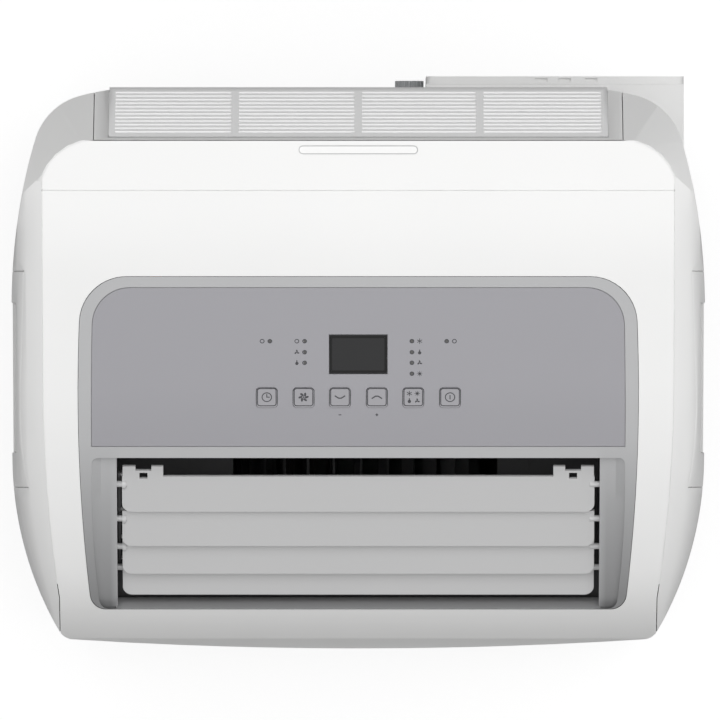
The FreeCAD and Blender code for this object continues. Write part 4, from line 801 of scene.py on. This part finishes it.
def area_lamp(name, power, size, place, target):
    """Round soft lamp at a place, aimed at a target."""
    data = bpy.data.lights.new(name, "AREA")
    data.energy = power
    data.shape = "DISK"
    data.size = size
    lamp = bpy.data.objects.new(name, data)
    lamp.location = place
    lamp.rotation_euler = (target - place).to_track_quat("-Z", "Y").to_euler()
    return lamp


# ---- Casing -----------------------------------------------------------------------------------

# Painted shadow ring round the finger scoop
SCOOP_SHADOW_RING = (75.4 * MM, 5.4 * MM, 2.6 * MM)    # wide, deep, corner radius
SCOOP_BACK = 5.75 * MM       # from the cover's back edge to the scoop's middle
SEAM_RUNS = 24               # straight runs along a seam
BESIDE_SEAM = 0.8 * MM       # where a panel's height is read, from its edge
INSIDE_END = 1.2 * MM        # the same at the cross seam's ends and on the rear cover
GRILLE_GAP = 0.15 * MM       # from the slatted grille's side to the middle of its gap
GRILLE_SEAM = (3.0 * MM, 28.0 * MM)             # start in front of the grille's back edge, length
GRILLE_SEAM_DEEP = 1.6       # times the depth of the other seams
SEAM_ENDS = (1.5 * MM, 0.3 * MM)                # short of the back edge, short of the cross seam
NOSE = 42.0 * MM             # the side seams end this far behind the front
OVER_COVER, OVER_PANEL = 0.0, 0.185             # m, X surely over the cover, over the panel
PAST_PANEL, OVER_SIDE = 0.205, 0.2085           # m, X surely past the panel, over the side panel


class AIRCON_OT_casing(bpy.types.Operator):
    """Finish the outer panels, hand grips and base pan"""
    bl_idname = "aircon.casing"
    bl_label = "Casing"

    def execute(self, context):
        finish, sizes, _ = settings()
        shell = shell_plastic()
        for node in ("front_panel", "top_cover", "side_panel_left", "side_panel_right",
                     "handle_left", "handle_right", "rear_cover", "base_pan"):
            refine(node, shell, sizes.panel_edge)
        settle(new_object("seam_tongues", seam_tongues(sizes), shell), BODY_OF["front_panel"],
               "white_shell")
        # Painted shadow: a thin grey ring printed round the finger scoop's edge
        flat, shadow = bmesh.new(), bmesh.new()
        rounded_outline(flat, *SCOOP_SHADOW_RING, sizes.scoop_shadow_line)
        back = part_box("top_cover")[1][1]
        printed(flat, shadow, seat(top_of("top_cover"), 0.0, back - SCOOP_BACK))
        grey = plastic("painted_scoop_shadow", finish.scoop_shadow, roughness=0.6)
        settle(new_object("scoop_painted_shadow", shadow, grey, PRINT_SHARP), BODY_OF["top_cover"],
               "white_shell")
        return {"FINISHED"}


def seam_tongues(sizes):
    """Tongues that close the bottom of the seams round the top cover and the front panel."""
    trees = {node: top_of(node) for node in ("front_panel", "top_cover", "rear_cover",
                                             "side_panel_left", "side_panel_right")}
    cover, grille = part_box("top_cover"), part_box("intake_grille")
    front_edge, panel_back = (corner[1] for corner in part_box("front_panel"))
    bm = bmesh.new()

    def add(path):
        tongue(bm, path, sizes.seam_wide, sizes.tongue_thick)

    reach = cover[1][0] + sizes.seam_wide / 2
    seam_y = (cover[0][1] + panel_back) / 2
    path = []
    for index in range(SEAM_RUNS + 1):
        x = reach * (2 * index / SEAM_RUNS - 1)
        over = max(min(x, reach - INSIDE_END), INSIDE_END - reach)
        high = below(trees["front_panel"], over, panel_back - BESIDE_SEAM)[0].z
        path.append(Vector((x, seam_y, high - sizes.seam_deep)))
    add(path)

    side_x = grille[1][0] + GRILLE_GAP
    for side in (-1, 1):
        path = []
        for index in range(SEAM_RUNS + 1):
            y = grille[1][1] - GRILLE_SEAM[0] - GRILLE_SEAM[1] * index / SEAM_RUNS
            high = below(trees["rear_cover"], side * (side_x + INSIDE_END), y)[0].z
            path.append(Vector((side * side_x, y, high - GRILLE_SEAM_DEEP * sizes.seam_deep)))
        add(path)

    for side, node in ((1, "side_panel_right"), (-1, "side_panel_left")):
        for middle, surely, back, front in (
                ("top_cover", OVER_COVER, cover[1][1] - SEAM_ENDS[0], cover[0][1] + SEAM_ENDS[1]),
                ("front_panel", OVER_PANEL, panel_back - SEAM_ENDS[1], front_edge + NOSE)):
            path = []
            for index in range(SEAM_RUNS + 1):
                y = back + (front - back) * index / SEAM_RUNS
                inner = panel_edge(trees[middle], y, side * surely, side * PAST_PANEL)
                outer = panel_edge(trees[node], y, side * OVER_SIDE, inner)
                high = below(trees[middle], inner - side * BESIDE_SEAM, y)[0].z
                path.append(Vector(((inner + outer) / 2, y, high - sizes.seam_deep)))
            add(path)
    return bm


# ---- Controls ---------------------------------------------------------------------------------

BORDER_INSIDE = (0.6 * MM, 1.6 * MM)            # window less its border, across and down
BORDER_CORNER = 1.0 * MM
LIGHT_CAP = 1.2 * MM         # corners of a small light nearer its top than this are its face
COLUMN_DIGITS = 3            # decimals of a metre that tell the columns of lights apart


class AIRCON_OT_controls(bpy.types.Operator):
    """Finish the bezel, the control face, its window, keys and lights"""
    bl_idname = "aircon.controls"
    bl_label = "Controls"

    def execute(self, context):
        finish, sizes, _ = settings()
        # The bezel's grey carries painted shade at the outlet's sides, darker towards the front
        refine("control_bezel", shaded(plastic("bezel_grey", finish.bezel, roughness=0.4),
                                       finish.painted_outlet_shade), sizes.bezel_edge)
        refine("control_overlay", plastic("overlay_grey", finish.overlay, roughness=0.33,
                                          grain=0.02), sizes.small_edge)
        smoked = plastic("window_dark", finish.window, roughness=0.2, grain=0.0, specular=0.09)
        refine("display_window", smoked, sizes.small_edge)
        keys = plastic("key_grey", finish.keys, roughness=0.36, grain=0.02)
        ink = plastic("dark_print", finish.print, roughness=0.5, grain=0.0)
        for name in SYMBOLS:
            node = "key_" + name
            refine(node, keys, sizes.small_edge)
            low, high = (Vector(corner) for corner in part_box(node))
            middle = (low + high) / 2
            flat, drawing = bmesh.new(), bmesh.new()
            SYMBOLS[name](flat, sizes.icon_line)
            side = (high.x - low.x) - 2 * sizes.key_margin
            rounded_outline(flat, side, side, sizes.key_corner - sizes.key_margin, sizes.icon_line)
            printed(flat, drawing, seat(top_of(node), middle.x, middle.y))
            settle(new_object(node + "_symbol", drawing, ink, PRINT_SHARP), BODY_OF[node],
                   "window_dark")
        settle(new_object("overlay_symbols", overlay_drawing(sizes), ink, PRINT_SHARP),
               BODY_OF["control_overlay"], "window_dark")
        black = plastic("border_black", finish.border, roughness=0.3, grain=0.0, specular=0.16)
        settle(new_object("window_border", border_drawing(sizes), black, PRINT_SHARP),
               BODY_OF["display_window"], "window_dark")
        pipe = plastic("lamp_pipe", finish.light_pipe, roughness=0.25, grain=0.0)
        paint("indicator_lights", pipe)
        return {"FINISHED"}


def border_drawing(sizes):
    """Border printed round the display window, on its surface."""
    low, high = (Vector(corner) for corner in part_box("display_window"))
    up_slope = (high.y - low.y) / math.cos(math.radians(CONTROL_SLOPE))
    flat, drawing = bmesh.new(), bmesh.new()
    rounded_outline(flat, high.x - low.x - BORDER_INSIDE[0], up_slope - BORDER_INSIDE[1],
                    BORDER_CORNER, sizes.window_border)
    middle = (low + high) / 2
    printed(flat, drawing, seat(top_of("display_window"), middle.x, middle.y))
    return drawing


def overlay_drawing(sizes):
    """Rings and symbols beside the lights, and the minus and plus under their keys."""
    surface = top_of("control_overlay")
    drawing = bmesh.new()
    columns = {}
    for x, y in light_places():
        columns.setdefault(round(x, COLUMN_DIGITS), []).append(y)
    symbols = {-1: (moon, small_fan, drop, sun), 1: (snowflake, drop, small_fan, sun)}
    beside = sizes.lamp_ring * 1.5       # the face is read there, as the light stands in a hole
    for x, rows in sorted(columns.items()):
        side = 1 if x > 0 else -1
        for index, y in enumerate(sorted(rows, reverse=True)):
            flat = bmesh.new()
            ring(flat, -beside, 0.0, sizes.lamp_ring, sizes.icon_line, 20)
            draw = moon if len(rows) == 1 else symbols[side][index]
            draw(flat, side * sizes.lamp_symbol_away - beside, 0.0, SMALL_SYMBOL)
            printed(flat, drawing, seat(surface, x + beside, y))
    for name in ("down", "up"):
        low, high = (Vector(corner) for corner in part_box("key_" + name))
        flat = bmesh.new()
        bar(flat, (-MARK_REACH, 0.0), (MARK_REACH, 0.0), sizes.icon_line)
        if name == "up":
            for side in (-1, 1):
                bar(flat, (0.0, side * sizes.icon_line / 2), (0.0, side * MARK_REACH),
                    sizes.icon_line)
        printed(flat, drawing, seat(surface, (low.x + high.x) / 2, low.y - sizes.mark_away))
    return drawing


def light_places():
    """Centre of each small light, found from the loose parts of their CAD node."""
    bm = merged_copy("indicator_lights")
    places, done = [], set()
    for first in bm.verts:
        if first in done:
            continue
        done.add(first)
        island, ends = [first], [first]
        while ends:
            vert = ends.pop()
            for link in vert.link_edges:
                other = link.other_vert(vert)
                if other not in done:
                    done.add(other)
                    island.append(other)
                    ends.append(other)
        rim = max(vert.co.z for vert in island) - LIGHT_CAP
        face = [vert.co for vert in island if vert.co.z > rim]
        middle = sum(face, Vector()) / len(face)
        places.append((middle.x, middle.y))
    bm.free()
    return places


class AIRCON_OT_louvers(bpy.types.Operator):
    """Finish the louvre blades, their link and the duct behind them"""
    bl_idname = "aircon.louvers"
    bl_label = "Louvres"

    def execute(self, context):
        finish, sizes, _ = settings()
        blades = plastic("louver_grey", finish.louver, roughness=0.42)
        for index in range(1, 5):
            refine("louver_blade_%d" % index, blades, sizes.blade_edge)
        dark = plastic("duct_dark", finish.duct, roughness=0.6)
        for node in ("outlet_duct", "louver_link", "louver_crank", "evaporator_housing",
                     "condenser_housing", "drip_tray", "evaporator_blower", "condenser_blower"):
            paint(node, dark)
        return {"FINISHED"}


# ---- Rear, machine and castors ----------------------------------------------------------------

NET_READ = (2.0 * MM, 17.0 * MM)                # in from the grille's side and back, on its frame
NET_LONG = 63.0 * MM         # up the slope
NET_INSIDE = 5.0 * MM        # from the grille's side to the net's
NET_THICK = 0.5 * MM


class AIRCON_OT_rear(bpy.types.Operator):
    """Finish the rear grilles, filter, exhaust port, cap, gland and screws"""
    bl_idname = "aircon.rear"
    bl_label = "Rear"

    def execute(self, context):
        finish, sizes, _ = settings()
        grille = plastic("grille_grey", finish.grille, roughness=0.45)
        for node in ("intake_grille", "condenser_grille"):
            refine(node, grille, 0.0)
        # The net's gaps carry painted shade of the space behind it
        net = threads("filter_net", finish.net, finish.net_gap_shade, gap=0.35, across=(620.0, 0.0, 0.0),
                      along=(0.0, 300.0, 620.0), roughness=0.75, depth=0.6)
        side_x, back_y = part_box("intake_grille")[1][:2]
        read_x = side_x - NET_READ[0]
        slope = seat(top_of("intake_grille"), read_x, back_y - NET_READ[1])
        wide = 2 * (side_x - NET_INSIDE)
        sheet = bmesh.new()
        bmesh.ops.create_grid(sheet, x_segments=1, y_segments=1, size=0.5, matrix=slope
                              @ Matrix.Translation((-read_x, 0.0, -sizes.net_under))
                              @ Matrix.Diagonal((wide, NET_LONG, 1.0, 1.0)))
        bmesh.ops.solidify(sheet, geom=sheet.faces[:], thickness=NET_THICK)
        bmesh.ops.recalc_face_normals(sheet, faces=sheet.faces)
        settle(new_object("slope_net", sheet, net), BODY_OF["intake_grille"], "filter_mesh")
        paint("intake_filter", net)
        for node in ("exhaust_flange", "exhaust_duct"):
            refine(node, shell_plastic(), sizes.small_edge)
        refine("drain_cap", plastic("cap_grey", finish.cap), 0.0)
        paint("cord_gland", plastic("gland_grey", finish.gland))
        paint("cover_screws", metal("zinc_screw", finish.screw))
        return {"FINISHED"}


class AIRCON_OT_machine(bpy.types.Operator):
    """Finish the coils, motors, compressor, pipes and electrics inside"""
    bl_idname = "aircon.machine"
    bl_label = "Machine"

    def execute(self, context):
        finish = settings()[0]
        # The fins' gaps carry painted shade
        fins = threads("fin_aluminium", finish.fins, finish.fin_gap_shade, gap=0.45,
                       across=(640.0, 0.0, 0.0), roughness=0.38, depth=0.8, metallic=0.9)
        for node in ("evaporator_coil", "condenser_coil"):
            paint(node, fins)
        steel = metal("motor_steel", finish.motor, roughness=0.45)
        for node in ("louver_motor", "evaporator_motor", "condenser_motor", "electrical_box"):
            paint(node, steel)
        paint("refrigerant_pipes", metal("drawn_copper", finish.copper, roughness=0.3))
        paint("compressor", plastic("black_enamel", finish.enamel, roughness=0.25))
        paint("compressor_feet", plastic("rubber_foot", finish.rubber, roughness=0.7))
        paint("control_board", threads("board_green", finish.board, finish.track, gap=0.7,
                                       across=(180.0, 0.0, 0.0), along=(0.0, 130.0, 0.0),
                                       roughness=0.35))
        return {"FINISHED"}


class AIRCON_OT_castors(bpy.types.Operator):
    """Finish the castor forks, axles and wheels"""
    bl_idname = "aircon.castors"
    bl_label = "Castors"

    def execute(self, context):
        finish, sizes, _ = settings()
        fork = plastic("castor_plastic", finish.castor, roughness=0.45)
        # The tread's grooves carry painted shade
        tread = threads("castor_tread", finish.tread, finish.groove_shade, gap=0.25,
                        across=(450.0, 0.0, 0.0), roughness=0.65, depth=0.5)
        steel = metal("axle_steel", finish.screw)
        for node in NODES:
            if node.startswith("castor_fork"):
                refine(node, fork, sizes.small_edge)
            elif node.startswith("castor_wheel"):
                refine(node, tread, 0.0)
            elif node.startswith("castor_axle"):
                paint(node, steel)
        return {"FINISHED"}


# ---- Add-on -----------------------------------------------------------------------------------

class AIRCON_PT_panel(bpy.types.Panel):
    """Lists the pieces and their settings."""
    bl_idname = "AIRCON_PT_panel"
    bl_label = "Air Conditioner"
    bl_space_type = "VIEW_3D"
    bl_region_type = "UI"
    bl_category = "Aircon"

    def draw(self, context):
        for operator in OPERATORS:
            self.layout.operator(operator.bl_idname)
        for group in ("aircon_finish", "aircon_sizes", "aircon_studio"):
            box = self.layout.box()
            holder = getattr(context.scene, group)
            for name in holder.__annotations__:
                box.prop(holder, name)


OPERATORS = (AIRCON_OT_stage, AIRCON_OT_casing, AIRCON_OT_controls, AIRCON_OT_louvers,
             AIRCON_OT_rear, AIRCON_OT_machine, AIRCON_OT_castors)
GROUPS = (("aircon_finish", AIRCON_PG_finish), ("aircon_sizes", AIRCON_PG_sizes),
          ("aircon_studio", AIRCON_PG_studio))


def register():
    for name, group in GROUPS:
        bpy.utils.register_class(group)
        setattr(bpy.types.Scene, name, PointerProperty(type=group))
    for operator in OPERATORS:
        bpy.utils.register_class(operator)
    bpy.utils.register_class(AIRCON_PT_panel)


def unregister():
    bpy.utils.unregister_class(AIRCON_PT_panel)
    for operator in reversed(OPERATORS):
        bpy.utils.unregister_class(operator)
    for name, group in reversed(GROUPS):
        delattr(bpy.types.Scene, name)
        bpy.utils.unregister_class(group)


def main():
    register()
    bpy.ops.aircon.stage()
    bpy.ops.aircon.casing()
    bpy.ops.aircon.controls()
    bpy.ops.aircon.louvers()
    bpy.ops.aircon.rear()
    bpy.ops.aircon.machine()
    bpy.ops.aircon.castors()


if __name__ == "__main__":
    main()
